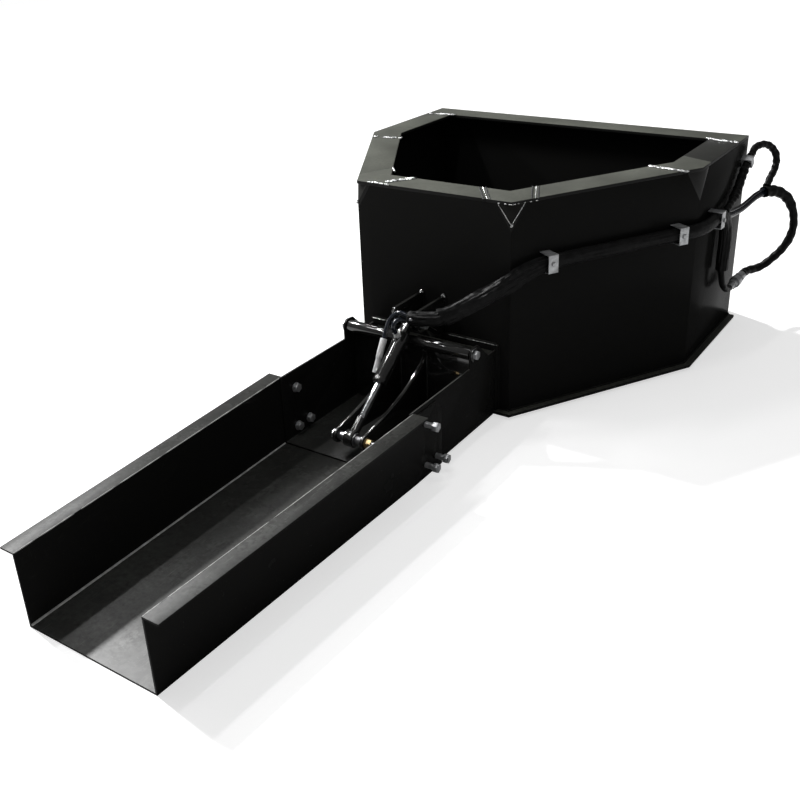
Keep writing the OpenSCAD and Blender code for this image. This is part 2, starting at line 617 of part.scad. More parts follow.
// Hoses, sleeve and clamps
module hose_sleeve() color("#101113") hose(sleeve_route, sleeve_rz_fit, sleeve_rn_fit, [0, 0, 1], 12);
module hose_riser() color("#15161a")
    hose(riser_route, upper_r * riser_scale, upper_r * riser_scale, [1, 0, 0], 10);
module hose_return() color("#101113") hose(return_route, return_r, return_r, [1, 0, 0], 10);
module hose_loop_lower() color("#131417")
    hose(loop_route, loop_r * loop_scale, loop_r * loop_scale, [1, 0, 0], 10);
module hose_loop_upper() color("#131417") hose(upper_route, upper_r, upper_r, [1, 0, 0], 10);
module jumper_hoses() color("#2c3540") {
    hose(rod_jumper_route, jumper_r, jumper_r, [0, 0, 1], 8);
    hose(base_jumper_route, jumper_r, jumper_r, [0, 0, 1], 8);
}
wall_turn = atan2(plan[2].y - plan[1].y, plan[2].x - plan[1].x);
clamp_off = sleeve_rn * 2 + 6;
clamp_t = 3;
// A place on the outside of the right wall: s along the angled plate, or y along the side plate
module on_angled(s, z) translate([plan[1].x, plan[1].y, z]) rotate([0, 0, wall_turn]) translate([s, 0, 0])
    rotate([90, 0, 0]) children();
module on_side(y, z) translate([bw, y, z]) rotate([0, 0, 90]) rotate([90, 0, 0]) children();
module clamp_places() {
    for (s = clamp_s) on_angled(s, clamp_z) children();
    on_side(clamp_side_y, clamp_z) children();
}
clamp_h = 2 * sleeve_rz * sleeve_scale(20) + 11.5;
clamp_w = 33;
leg_z = clamp_h / 2 - clamp_t;
module hose_clamps() color("#cfd2d6") clamp_places() {
    translate([-clamp_w / 2, -clamp_h / 2, clamp_off]) cube([clamp_w, clamp_h, clamp_t]);
    for (s = [0, 1]) mirror([0, s, 0]) translate([-clamp_w / 2, leg_z, 0]) cube([clamp_w, clamp_t, clamp_off]);
}
module clamp_bolts() color("#e0e2e5") clamp_places()
    translate([0, 0, clamp_off + clamp_t]) cylinder(d = 13 / cos(30), h = 5, $fn = 6);
riser_way = heading(riser_route, park_i);
riser_turn = atan2(riser_way.z, riser_way.y);
riser_at = riser_route[park_i];
riser_grip = upper_r + 4;         // half height of its clamp
module riser_clamp() color("#cfd2d6")
    translate([bw, riser_at.y, riser_at.z]) rotate([riser_turn, 0, 0]) difference() {
        translate([0, -12, -riser_grip]) cube([riser_at.x - bw + riser_grip, 24, 2 * riser_grip]);
        translate([riser_at.x - bw, 20, 0]) rotate([90, 0, 0]) cylinder(r = upper_r + 0.6, h = 40);
    }

// Quick couplers, plugged into each other while the hopper is off its carrier
module on_coupler() translate([coupler_x, 0, coupler_z]) rotate([-90, 0, 0]) children();
plug_y = return_route[0].y;
socket_end = loop_route[len(loop_route) - 1].y;
nose_y0 = plug_y + 50;
socket_y = nose_y0 + 4;
socket_r = 15;
coupler_bore = 12;
module coupler_plug() color("#b9bcc0") on_coupler() {
    translate([0, 0, plug_y]) cylinder(r = return_r, h = 32);
    translate([0, 0, plug_y + 30]) cylinder(d = 32, h = 20, $fn = 6);
    translate([0, 0, nose_y0 - 1]) cylinder(r = coupler_bore - run, h = 36);
}
module coupler_socket() color("#b9bcc0") on_coupler() difference() {
    union() {
        translate([0, 0, socket_y]) cylinder(r = socket_r, h = 50);
        translate([0, 0, socket_y + 46]) cylinder(d = 38, h = 16, $fn = 6);
        translate([0, 0, socket_y + 60]) cylinder(r = loop_r, h = socket_end - socket_y - 60);
    }
    translate([0, 0, socket_y - 1]) cylinder(r = coupler_bore, h = 38);
}
module coupler_collar() color("#d5d8dc") on_coupler()
    tube_z(socket_y + 2, socket_y + 34, socket_r + 4, socket_r + run);

on_ground() front_plate();
on_ground() angled_plate_left();
on_ground() angled_plate_right();
on_ground() side_plate_left();
on_ground() side_plate_right();
on_ground() back_plate();
on_ground() floor_plate();
on_ground() rim_front();
on_ground() rim_corner_pieces();
on_ground() rim_angled_left();
on_ground() rim_angled_right();
on_ground() rim_side_left();
on_ground() rim_side_right();
on_ground() rim_back();
on_ground() corner_gussets();
on_ground() attach_plate();
on_ground() attach_hook();
on_ground() attach_ledge();
on_ground() attach_ribs();
on_ground() door_frame();
on_ground() chute_rear();
on_ground() chute_front();
on_ground() chute_bolts();
on_ground() chute_nuts();
on_ground() chute_washers();
on_ground() pivot_shaft();
on_ground() shaft_bolts();
on_ground() shaft_washers();
on_ground() cylinder_lugs();
on_ground() base_pin();
on_ground() base_pin_nut();
on_ground() gate_plate();
on_ground() gate_hinge_tubes();
on_ground() gate_arm_left();
on_ground() gate_arm_right();
on_ground() nose_pin();
on_ground() nose_pin_nut();
on_ground() nose_spacers();
on_ground() cylinder_barrel();
on_ground() cylinder_gland();
on_ground() rod_seal();
on_ground() rod_port_fitting();
on_ground() base_port_fitting();
on_ground() piston_rod();
on_ground() piston();
on_ground() piston_seal();
on_ground() piston_nut();
on_ground() rod_eye();
on_ground() hose_sleeve();
on_ground() hose_clamps();
on_ground() clamp_bolts();
on_ground() hose_riser();
on_ground() riser_clamp();
on_ground() hose_return();
on_ground() coupler_plug();
on_ground() coupler_socket();
on_ground() coupler_collar();
on_ground() hose_loop_lower();
on_ground() hose_loop_upper();
on_ground() jumper_hoses();
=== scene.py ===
"""Dresses the concrete hopper: black paint, bare welds, plated bolts, sleeved hoses and a pale studio."""

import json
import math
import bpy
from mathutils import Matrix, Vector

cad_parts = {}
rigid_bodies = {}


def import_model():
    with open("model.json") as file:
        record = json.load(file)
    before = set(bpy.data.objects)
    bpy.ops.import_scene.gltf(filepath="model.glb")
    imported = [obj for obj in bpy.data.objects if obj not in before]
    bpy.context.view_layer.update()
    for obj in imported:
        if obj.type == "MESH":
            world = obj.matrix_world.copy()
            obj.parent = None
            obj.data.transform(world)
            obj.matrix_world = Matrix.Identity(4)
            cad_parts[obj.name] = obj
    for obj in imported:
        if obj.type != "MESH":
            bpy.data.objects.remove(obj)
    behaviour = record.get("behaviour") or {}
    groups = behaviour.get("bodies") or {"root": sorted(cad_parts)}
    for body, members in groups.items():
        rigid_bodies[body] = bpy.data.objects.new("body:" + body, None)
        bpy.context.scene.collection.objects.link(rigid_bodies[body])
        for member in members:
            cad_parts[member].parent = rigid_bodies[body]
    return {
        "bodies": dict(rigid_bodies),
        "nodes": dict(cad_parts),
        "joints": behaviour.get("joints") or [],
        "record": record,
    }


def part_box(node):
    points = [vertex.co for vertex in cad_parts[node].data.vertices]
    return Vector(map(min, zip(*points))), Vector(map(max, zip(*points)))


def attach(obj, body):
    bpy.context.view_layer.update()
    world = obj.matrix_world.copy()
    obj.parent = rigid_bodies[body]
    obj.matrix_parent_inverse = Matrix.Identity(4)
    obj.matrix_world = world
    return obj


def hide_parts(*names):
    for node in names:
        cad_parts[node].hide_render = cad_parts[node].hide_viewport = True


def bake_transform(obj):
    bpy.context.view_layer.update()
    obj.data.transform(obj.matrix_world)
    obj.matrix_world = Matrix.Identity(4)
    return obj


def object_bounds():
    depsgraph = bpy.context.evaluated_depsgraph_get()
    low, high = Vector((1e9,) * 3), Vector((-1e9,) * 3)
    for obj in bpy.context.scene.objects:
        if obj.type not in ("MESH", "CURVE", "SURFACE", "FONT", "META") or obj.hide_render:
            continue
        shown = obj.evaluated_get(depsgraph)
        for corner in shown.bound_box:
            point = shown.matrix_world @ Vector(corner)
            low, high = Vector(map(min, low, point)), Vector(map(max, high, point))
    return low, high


bl_info = {
    "name": "Concrete Hopper Looks",
    "version": (1, 0, 0),
    "blender": (4, 5, 0),
    "location": "View3D > Sidebar > Hopper",
    "description": "Paint, welds, threads, hoses and studio for a concrete hopper with a hydraulic gate",
    "category": "Object",
}

import bmesh
import bpy
from mathutils import Matrix, Vector, noise

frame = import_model()
CAD_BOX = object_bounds()
NODES = frame["nodes"]
BODY_OF = {node: body for body, names in frame["record"]["behaviour"]["bodies"].items() for node in names}
MM = 0.001

# The hopper's plan, from the frame's own boxes
RIM_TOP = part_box("rim_front")[1].z
RIM_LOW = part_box("rim_front")[0].z
BACK_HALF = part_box("back_plate")[1].x
FRONT_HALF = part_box("front_plate")[1].x
FOLD_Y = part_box("side_plate_right")[0].y
BACK_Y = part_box("back_plate")[1].y
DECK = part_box("floor_plate")[1].z
GROUND = CAD_BOX[0].z
PLAN = [Vector((x, y)) for x, y in (
    (-FRONT_HALF, 0), (FRONT_HALF, 0), (BACK_HALF, FOLD_Y), (BACK_HALF, BACK_Y), (-BACK_HALF, BACK_Y),
    (-BACK_HALF, FOLD_Y))]
RIM_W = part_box("rim_front")[1].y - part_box("rim_front")[0].y

# How far a corner piece of the rim reaches along its outer and its inner edge
RIM_CUT_OUT = 78 * MM
RIM_CUT_IN = 90 * MM

# The front chute, as (at its mouth, at the step)
CHUTE_PLATE = 5 * MM
CHUTE_FLOOR_HALF = (203 * MM, 230.5 * MM)
CHUTE_FLOOR_STEP = -480 * MM
CHUTE_EDGE_HALF = (199 * MM, 226.3 * MM)
CHUTE_EDGE_Z = (192 * MM, 208 * MM)
CHUTE_EDGE_STEP = -472 * MM
CHUTE_WALL_HALF = 231 * MM
# The chute's floor bends and the thin lines along its top edges are pale, as painted highlights: the bends'
# radius and the lines' radius
BEND_R = 4 * MM
HIGHLIGHT_LINE_R = 1.5 * MM
THREAD_R = 8.35 * MM
CHUTE_BOLTS = ((-418 * MM, 155 * MM), (-366 * MM, 30 * MM), (-420 * MM, 28 * MM))

# The key light falls over the left chute wall on to the middle of the chute's floor
SUN_WAY = (0.72, -0.12, -0.75)
SUN_STRENGTH = 4.0
SUN_ANGLE = math.radians(3)

# Bare tubes and panels that shine at the linkage, as two ends, a width in metres and a radiance
LINKAGE = (0, -0.2, 0.26)
TUBES = {
    "tube_over_left": ((-1.55, -2.2, 2.9), (-1.55, 1.0, 2.9), 0.06, 22),
    "panel_over_left": ((-1.55, -1.25, 2.9), (-1.55, -0.35, 2.9), 0.12, 58),
    "panel_far_left": ((-2.67, -0.5, 2.04), (-2.67, 0.3, 2.04), 0.12, 58),
    "panel_over_chute": ((-0.15, -1.45, 3.14), (-0.15, -0.65, 3.14), 0.10, 50),
    "tube_front_end": ((-2.5, -1.1, 3.4), (-2.0, -1.1, 3.4), 0.07, 70),
    "tube_rear_end": ((-2.42, 1.7, 2.9), (-1.95, 1.7, 2.9), 0.07, 70),
}

# The surround lights the hopper with the first share, and the camera sees both
SURROUND_LIGHT = 0.16
SURROUND_SEEN = 0.84
FLOOR_GLOW = 0.62
FLOOR_HALF = 14.0

# Camera, as fitted to the photograph
CAMERA_PLACE = (1.49296, -2.37959, 1.444)
CAMERA_YAW = math.radians(34.81)
CAMERA_PITCH = math.radians(25.52)
CAMERA_ROLL = math.radians(-2.35)
CAMERA_FOCAL_PX = 983.13
CAMERA_CENTRE_PX = (392.25, 366.65)
FRAME_PX = 800
SENSOR = 36.0

# Hose routes of the part, in millimetres
SLEEVE_ROUTE = [(31, -186, 340), (71, -179.5, 342), (107.5, -162.5, 343), (121.2, -151, 346.4),
    (124.3, -148.5, 347.1), (138, -137, 350.5), (165.5, -111, 365), (192.5, -86, 382.5), (221, -63.5, 401),
    (249, -42, 420.5), (275, -18.5, 440.5), (298.5, 10, 457.5), (319, 43, 468.5), (338.5, 78, 474.5),
    (359, 113, 477), (379.5, 148, 478), (400, 183, 478), (420.5, 218, 478), (441, 253, 478),
    (461, 288, 478), (481.5, 323, 478), (502, 358, 478), (522.5, 393, 478), (543.5, 428, 478),
    (564, 463, 478), (584.5, 497.5, 478), (606, 532.5, 478), (622, 569, 478), (632, 609.5, 478.5),
    (635.5, 651, 479.5), (636, 692, 480.5), (636, 732.5, 479), (637.5, 770.5, 466), (639, 797, 435.5),
    (640, 807.5, 396.5), (640, 808.5, 356), (640, 808, 315.5), (640, 808, 275)]
LOOP_ROUTE = [(637, 766, 474), (638, 797.5, 467), (639, 829, 460), (640, 860.5, 455), (641.5, 892.5, 452),
    (643, 925, 449.5), (646, 957, 450), (651, 988.5, 455), (657, 1019, 462), (663, 1050.5, 467.5),
    (670.5, 1081.5, 470), (681.5, 1111.5, 471), (698.5, 1139, 468), (719, 1161.5, 458), (739.5, 1177, 439),
    (755, 1185, 412), (765.5, 1187.5, 382), (770.5, 1187, 350), (770, 1185.5, 318), (762.5, 1183, 286.5),
    (749, 1180, 257.5), (731.5, 1175.5, 231), (711.5, 1169, 206.5), (691, 1155, 186.5),
    (670.5, 1132.5, 177.5), (656, 1104, 179), (650.5, 1072, 180), (650, 1040, 180)]
RETURN_ROUTE = [(650, 896, 180), (649.2, 885.2, 181.1), (648.4, 874.6, 182.7), (647.7, 864.3, 185.9),
    (646.9, 854.5, 190.4), (646.1, 845.3, 196.1), (645.3, 836.8, 202.9), (644.5, 829.3, 210.6),
    (643.7, 822.8, 219.2), (643, 817.4, 228.5), (642.2, 813.1, 238.5), (641.4, 810.2, 248.9),
    (640.5, 808.7, 259.5), (639.9, 807.9, 270.3), (640, 808, 281.2), (640, 808, 292)]
ROD_JUMPER = [(28, -190, 348), (20, -190.5, 351), (6, -191, 353), (-10, -195, 346), (-24, -204, 324),
    (-30.5, -216, 292), (-30.5, -224.8, 276.3)]
BASE_JUMPER = [(28, -184, 330), (20, -186, 332), (10, -193, 334), (3, -206, 333), (0, -216, 323),
    (0, -217, 308), (0, -208.7, 296.4)]
UPPER_ROUTE = [(637, 790, 476), (636.5, 811, 482.5), (636, 832.5, 488.5), (635, 854, 492.5),
    (633.5, 875.5, 497.5), (632.5, 896.5, 504), (631.5, 917, 512), (630, 937, 522), (629.5, 954.5, 535.5),
    (629, 971, 550.5), (629, 987.5, 564.5), (629, 1005, 578), (629, 1023.5, 590.5), (629.5, 1052, 603.5),
    (630, 1069, 610), (629, 1085.5, 617.5), (631, 1102.5, 623.5), (637, 1119.5, 626), (644.5, 1136, 627),
    (653.5, 1151.5, 624), (663, 1164.5, 615.5), (672, 1174.5, 604), (680, 1181, 589),
    (684.5, 1183.5, 571.5), (686, 1180.5, 554), (685, 1172.5, 537.5), (682, 1162.5, 522.5),
    (679, 1150.5, 509.5), (678, 1136.5, 497.5), (677, 1122, 487)]

# Half widths of the sleeve and the wraps, and along each, (place on the route, share of the half width)
SLEEVE_TALL = 29 * MM
SLEEVE_THICK = 20 * MM
LOOP_R = 15 * MM
RISER_R = 13 * MM
RETURN_R = 11 * MM
JUMPER_R = 6.9 * MM
CUFF_END = 4
TALL = [(0, 0.62), (0.15, 0.82), (3.9, 0.84), (4, 1), (10, 1), (15, 0.75), (31, 0.75), (32.5, 0.9), (37, 0.9)]
THICK = [(0, 0.72), (0.15, 0.9), (3.9, 0.9), (4, 1), (10, 1), (11, 0.85), (31, 0.85), (32.5, 1), (34, 1.1),
         (37, 1.1)]
WRAP_START = 10.6
WRAP = [(10, 1.36), (12, 1.4), (13.5, 1.34), (14.5, 1.2), (16, 1.02), (27, 1.02)]
RISER = [(0, 0.95), (3.5, 1), (4.5, 1.25), (10, 1.25), (11.3, 1), (29, 1)]

# The two hoses that stay bare at the lower loop's start: (height above its middle, radius)
BARE_HOSES = ((-9.6 * MM, 5 * MM), (4.6 * MM, 9.2 * MM))

# Depth of the sleeve's folds, as (metres along it, share of its half width)
CUFF_FOLDS = [(0, 0.1), (0.02, 0.3), (0.1, 0.3)]
SLEEVE_FOLDS = [(0.08, 0.04), (0.14, 0.2), (0.3, 0.26), (0.42, 0.24), (0.55, 0.12), (1.05, 0.1), (1.2, 0.16)]

# The snap stud on the cuff, as (distance from the cuff's middle, radius)
STUD_WAY = (0.1, -0.9, 0.15)
STUD = ((12 * MM, 5 * MM), (19 * MM, 5 * MM), (20.5 * MM, 4.4 * MM), (21.5 * MM, 2.4 * MM))

# Which points of the smoothed short hoses start to leave the hopper and ride fully with the barrel
JUMPERS = {"rod_jumper_hose": (ROD_JUMPER, 0, 24), "base_jumper_hose": (BASE_JUMPER, 2, -3)}


# Properties


def colour_property(name, description, default):
    return bpy.props.FloatVectorProperty(
        name=name, description=description, subtype="COLOR", default=default, min=0, max=1)


def share_property(name, description, default):
    return bpy.props.FloatProperty(name=name, description=description, default=default, min=0, max=1)


def length_property(name, description, default, least, most):
    return bpy.props.FloatProperty(
        name=name, description=description, default=default, min=least, max=most, unit="LENGTH")


class HopperFinish(bpy.types.PropertyGroup):
    """Colours and amounts of the hopper's finishes."""

    paint: colour_property("Paint", "Black gloss paint", (0.0112, 0.0112, 0.0108))
    # On the rim this dust colour also stands for a painted sheen of the sky on the rim's top
    dust: colour_property("Dust", "Pale dust lying on upward faces", (0.150, 0.156, 0.132))
    zinc: colour_property("Zinc", "Zinc plate on bolts and clamps", (0.56, 0.57, 0.58))
    yellow: colour_property("Yellow zinc", "Yellow zinc on the nose pin's nut", (0.66, 0.50, 0.26))
    dust_and_sheen_amount: share_property("Dust amount", "How much dust lies on the plates", 0.5)
    peel: share_property("Orange peel", "Strength of the paint's fine waviness", 0.06)


class HopperSizes(bpy.types.PropertyGroup):
    """Sizes of the hopper's made details."""

    edge: length_property("Edge", "Width of a plate's eased edge", 0.9 * MM, 0, 0.01)
    bead: length_property("Weld bead", "Half width of a bare weld bead", 6.2 * MM, 0.001, 0.02)
    fillet: length_property("Fillet weld", "Radius of a painted fillet weld", 3.6 * MM, 0.001, 0.02)
    pitch: length_property("Weld pitch", "Distance between a weld's ripples", 4.2 * MM, 0.001, 0.02)
    thread: length_property("Thread pitch", "Distance between a bolt's threads", 2.0 * MM, 0.0005, 0.005)


# Mesh helpers


def placed(name, data):
    """A new object in the scene."""
    made = bpy.data.objects.new(name, data)
    bpy.context.scene.collection.objects.link(made)
    return made


def keep(name, mesh, body, material=None):
    """A finished piece of the hopper, made from a mesh that already holds its place."""
    piece = placed(name, mesh)
    if material is not None:
        mesh.materials.clear()
        mesh.materials.append(material)
    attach(piece, body)
    return piece


def shade_by_angle(mesh, degrees=34):
    """Smooth faces, with a sharp edge wherever two meet at more than this angle."""
    for face in mesh.polygons:
        face.use_smooth = True
    mesh.set_sharp_from_angle(angle=math.radians(degrees))


def eased_mesh(node, width):
    """A copy of a CAD node's mesh whose sharp edges are rounded over by a small width."""
    work = bmesh.new()
    work.from_mesh(NODES[node].data)
    bmesh.ops.remove_doubles(work, verts=work.verts, dist=1e-6)
    bmesh.ops.dissolve_limit(work, angle_limit=math.radians(0.4), verts=work.verts, edges=work.edges)
    sharp = [e for e in work.edges if e.is_manifold and e.calc_face_angle(0) > math.radians(34)]
    if width > 0 and sharp:
        bmesh.ops.bevel(work, geom=sharp, offset=width, segments=2, profile=0.6, affect="EDGES",
                        clamp_overlap=True)
    mesh = bpy.data.meshes.new(node + "_eased")
    work.to_mesh(mesh)
    work.free()
    shade_by_angle(mesh)
    return mesh


def finish_nodes(nodes, width, finish):
    """Shows an eased copy of each CAD node in place of the node, in one of the hopper's finishes."""
    for node in nodes:
        mesh = eased_mesh(node, width)
        piece = keep(node + "_finish", mesh, BODY_OF[node], MATERIALS[finish])
        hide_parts(node)


def metres(route):
    return [Vector(p) * MM for p in route]


def smooth_route(points, per):
    """Points along a smooth curve through the given ones, per of them to each stretch."""
    ends = [points[0] * 2 - points[1], *points, points[-1] * 2 - points[-2]]
    out = []
    for i in range(1, len(ends) - 2):
        a, b, c, d = ends[i - 1:i + 3]
        for k in range(per):
            t = k / per
            out.append(0.5 * (2 * b + (c - a) * t + (2 * a - 5 * b + 4 * c - d) * t * t
                              + (3 * b - a - 3 * c + d) * t * t * t))
    out.append(points[-1].copy())
    return out


def frames_along(line, side):
    """Each point of a line, with two directions across it that turn as little as they can."""
    frames, across = [], Vector(side)
    for i, p in enumerate(line):
        ahead = (line[min(i + 1, len(line) - 1)] - line[max(i - 1, 0)]).normalized()
        across = (across - ahead * across.dot(ahead)).normalized()
        frames.append((p, across, ahead.cross(across)))
    return frames


def read_between(table, place):
    """A value read between the (place, value) rows of a table."""
    for (p0, v0), (p1, v1) in zip(table, table[1:]):
        if place <= p1:
            return v0 + (v1 - v0) * max(0.0, (place - p0) / (p1 - p0))
    return table[-1][1]


def add_tube(work, frames, rings, sides, shape=None, slot=0):
    """Adds a closed tube to work. A ring is a place in frames and its half widths, across and up."""
    uv = work.loops.layers.uv.get("along") or work.loops.layers.uv.new("along")
    runs = [0.0]
    for before, after in zip(frames, frames[1:]):
        runs.append(runs[-1] + (after[0] - before[0]).length)
    made = []
    for at, half_a, half_b in rings:
        p, across, up = frames[at]
        ring = []
        for k in range(sides):
            turn = 2 * math.pi * k / sides
            grow = shape(runs[at], turn) if shape else 1.0
            out = across * half_a * math.cos(turn) + up * half_b * math.sin(turn)
            ring.append(work.verts.new(p + grow * out))
        made.append((runs[at], ring))
    around = 2 * math.pi * max(ring[1] for ring in rings)
    faces = [work.faces.new(list(reversed(made[0][1]))), work.faces.new(made[-1][1])]
    for (s0, low), (s1, high) in zip(made, made[1:]):
        for k in range(sides):
            m = (k + 1) % sides
            face = work.faces.new((low[k], low[m], high[m], high[k]))
            for loop, (s, turn) in zip(face.loops, ((s0, k), (s0, k + 1), (s1, k + 1), (s1, k))):
                loop[uv].uv = (turn / sides * around, s)
            faces.append(face)
    for face in faces:
        face.material_index = slot


def open_mouth(at, half_a, half_b):
    """Rings that turn a tube's end inside, so that it starts as an open mouth with a hem."""
    inward = ((at + 5, 0.80), (at + 2, 0.84), (at, 0.90), (at, 0.97))
    return [(place, half_a * f, half_b * f) for place, f in inward]


def mesh_of(work, name, materials, degrees=50):
    """The mesh in work, closed off with its normals outward."""
    bmesh.ops.recalc_face_normals(work, faces=work.faces)
    mesh = bpy.data.meshes.new(name)
    work.to_mesh(mesh)
    work.free()
    for material in materials:
        mesh.materials.append(material)
    shade_by_angle(mesh, degrees)
    return mesh


# Nodes


def fill(tree, node, inputs):
    """Links a node's inputs, by name or number, to sockets, or gives them plain values."""
    for label, value in inputs.items():
        if isinstance(value, bpy.types.NodeSocket):
            tree.links.new(value, node.inputs[label])
        else:
            node.inputs[label].default_value = value


def added(tree, kind, inputs, **settings):
    """A new node with its own settings and these inputs."""
    node = tree.nodes.new(kind)
    for label, value in settings.items():
        setattr(node, label, value)
    fill(tree, node, inputs)
    return node


def group_named(name, kind, inputs, outputs):
    """An empty node group with these sockets, and its input and output nodes."""
    tree = bpy.data.node_groups.new(name, kind)
    for way, sockets in (("INPUT", inputs), ("OUTPUT", outputs)):
        for label, socket_kind in sockets.items():
            tree.interface.new_socket(label, in_out=way, socket_type="NodeSocket" + socket_kind)
    return tree, tree.nodes.new("NodeGroupInput"), tree.nodes.new("NodeGroupOutput")


# Geometry node trees


def lay_along(tree, given, out, shape, axis, inputs):
    """Lays a shape at an even pitch along the edges that a tree is given, with its axis along them."""
    curve = added(tree, "GeometryNodeMeshToCurve", {"Mesh": given.outputs["Geometry"]})
    spaced = added(tree, "GeometryNodeResampleCurve", {
        "Curve": curve.outputs["Curve"], "Length": given.outputs["Pitch"]}, mode="LENGTH")
    tangent = added(tree, "GeometryNodeInputTangent", {})
    turn = added(tree, "FunctionNodeAlignRotationToVector", {"Vector": tangent.outputs["Tangent"]}, axis=axis)
    place = added(tree, "GeometryNodeInstanceOnPoints", {
        "Points": spaced.outputs["Curve"], "Instance": shape.outputs["Mesh"],
        "Rotation": turn.outputs["Rotation"], **inputs})
    real = added(tree, "GeometryNodeRealizeInstances", {"Geometry": place.outputs["Instances"]})
    smooth = added(tree, "GeometryNodeSetShadeSmooth", {"Geometry": real.outputs["Geometry"]})
    coat = added(tree, "GeometryNodeSetMaterial", {
        "Geometry": smooth.outputs["Geometry"], "Material": given.outputs["Material"]})
    fill(tree, out, {"Geometry": coat.outputs["Geometry"]})


def weld_tree():
    """Overlapping ripples of a weld along every line of a mesh, each a little different."""
    tree, given, out = group_named("weld_ripples", "GeometryNodeTree", {
        "Geometry": "Geometry", "Pitch": "Float", "Smallest": "Vector", "Largest": "Vector", "Seed": "Int",
        "Material": "Material"}, {"Geometry": "Geometry"})
    ball = added(tree, "GeometryNodeMeshIcoSphere", {"Radius": 1.0, "Subdivisions": 2})
    size = added(tree, "FunctionNodeRandomValue", {
        0: given.outputs["Smallest"], 1: given.outputs["Largest"], "Seed": given.outputs["Seed"]},
        data_type="FLOAT_VECTOR")
    lay_along(tree, given, out, ball, "X", {"Scale": size.outputs[0]})
    return tree


def ridge_tree():
    """Round ridges, such as threads, at an even pitch along every line of a mesh."""
    tree, given, out = group_named("round_ridges", "GeometryNodeTree", {
        "Geometry": "Geometry", "Pitch": "Float", "Radius": "Float", "Thickness": "Float",
        "Material": "Material"}, {"Geometry": "Geometry"})
    disc = added(tree, "GeometryNodeMeshCylinder", {
        "Vertices": 28, "Radius": given.outputs["Radius"], "Depth": given.outputs["Thickness"]})
    lay_along(tree, given, out, disc, "Z", {})
    return tree


def built_by_tree(name, lines, tree, values, body):
    """A plain mesh piece that a geometry tree makes from a list of lines."""
    mesh = bpy.data.meshes.new(name + "_lines")
    points = [p for line in lines for p in line]
    edges, start = [], 0
    for line in lines:
        edges += [(start + i, start + i + 1) for i in range(len(line) - 1)]
        start += len(line)
    mesh.from_pydata([tuple(p) for p in points], edges, [])
    guide = placed(name + "_guide", mesh)
    modifier = guide.modifiers.new("made", "NODES")
    modifier.node_group = tree
    for item in tree.interface.items_tree:
        if item.in_out == "INPUT" and item.name in values:
            modifier[item.identifier] = values[item.name]
    shown = guide.evaluated_get(bpy.context.evaluated_depsgraph_get())
    made = bpy.data.meshes.new_from_object(shown)
    made.name = name
    bpy.data.objects.remove(guide)
    piece = keep(name, made, body)
    if not made.materials:
        made.materials.append(values["Material"])
    shade_by_angle(made, 40)
    return piece


# Shader groups


def shader_group(name, output, *inputs):
    """An empty shader group whose sockets, one output and these inputs, are plain numbers."""
    return group_named(name, "ShaderNodeTree", dict.fromkeys(inputs, "Float"), {output: "Float"})


def placed_group(tree, group, **values):
    """What a shader group gives for these values."""
    return added(tree, "ShaderNodeGroup", values, node_tree=group).outputs[0]


def math_node(tree, kind, a, b, clamp=False):
    return added(tree, "ShaderNodeMath", {0: a, 1: b}, operation=kind, use_clamp=clamp).outputs[0]


def product(tree, a, b, clamp=False):
    return math_node(tree, "MULTIPLY", a, b, clamp)


def total(tree, a, b, clamp=False):
    return math_node(tree, "ADD", a, b, clamp)


def noise_node(tree, scale, detail, stretch=(1, 1, 1), rough=0.55):
    """Noise on Object coordinates, stretched along the axes."""
    place = added(tree, "ShaderNodeTexCoord", {})
    mapping = added(tree, "ShaderNodeMapping", {"Vector": place.outputs["Object"], "Scale": stretch})
    cloud = added(tree, "ShaderNodeTexNoise", {
        "Vector": mapping.outputs["Vector"], "Scale": scale, "Detail": detail, "Roughness": rough})
    return cloud.outputs["Fac"]


def ramp(tree, value, low, high):
    """How far a value is from low to high, from 0 to 1."""
    inputs = {"Value": value, "From Min": low, "From Max": high}
    return added(tree, "ShaderNodeMapRange", inputs).outputs["Result"]


def looking_up(tree, low, high):
    """How far a face looks up, from 0 to 1 while its normal's height goes from low to high."""
    facing = added(tree, "ShaderNodeNewGeometry", {})
    split = added(tree, "ShaderNodeSeparateXYZ", {"Vector": facing.outputs["Normal"]})
    return ramp(tree, split.outputs["Z"], low, high)


def dust_and_sheen_group():
    """Dust that lies on faces that look up, in clouds, with fine specks of dried cement. On the rim it also
    stands for a painted sheen of the sky on the upward faces.
    """
    tree, given, out = shader_group("lying_dust_and_sheen", "Mask", "Amount", "Even")
    clouds = ramp(tree, noise_node(tree, 5.0, 6), 0.32, 0.7)
    fine = ramp(tree, noise_node(tree, 90.0, 5), 0.15, 0.8)
    specks = ramp(tree, noise_node(tree, 260.0, 2), 0.70, 0.76)
    body = total(tree, product(tree, clouds, fine), given.outputs["Even"])
    body = product(tree, body, looking_up(tree, 0.25, 0.95))
    body = product(tree, body, given.outputs["Amount"])
    specks = product(tree, specks, product(tree, given.outputs["Amount"], 0.5))
    fill(tree, out, {"Mask": total(tree, body, specks, clamp=True)})
    return tree


def peel_group():
    """The fine waviness of sprayed paint over rolled plate."""
    tree, given, out = shader_group("orange_peel", "Height", "Strength")
    broad = product(tree, noise_node(tree, 6.0, 3), 2.5)
    height = total(tree, noise_node(tree, 420.0, 2), broad)
    fill(tree, out, {"Height": product(tree, height, given.outputs["Strength"])})
    return tree


def scuff_group():
    """Fine scratches along and across the chute, on the faces that concrete slides over."""
    tree, given, out = shader_group("fine_scuffs", "Mask", "Amount")
    along = ramp(tree, noise_node(tree, 55.0, 4, (6, 0.35, 2.0)), 0.62, 0.74)
    across = ramp(tree, noise_node(tree, 48.0, 4, (1.5, 5, 0.4)), 0.64, 0.75)
    patch = ramp(tree, noise_node(tree, 3.0, 3), 0.4, 0.65)
    patch = product(tree, patch, looking_up(tree, -0.1, 0.9))
    both = product(tree, math_node(tree, "MAXIMUM", along, across), patch)
    fill(tree, out, {"Mask": product(tree, both, given.outputs["Amount"], clamp=True)})
    return tree


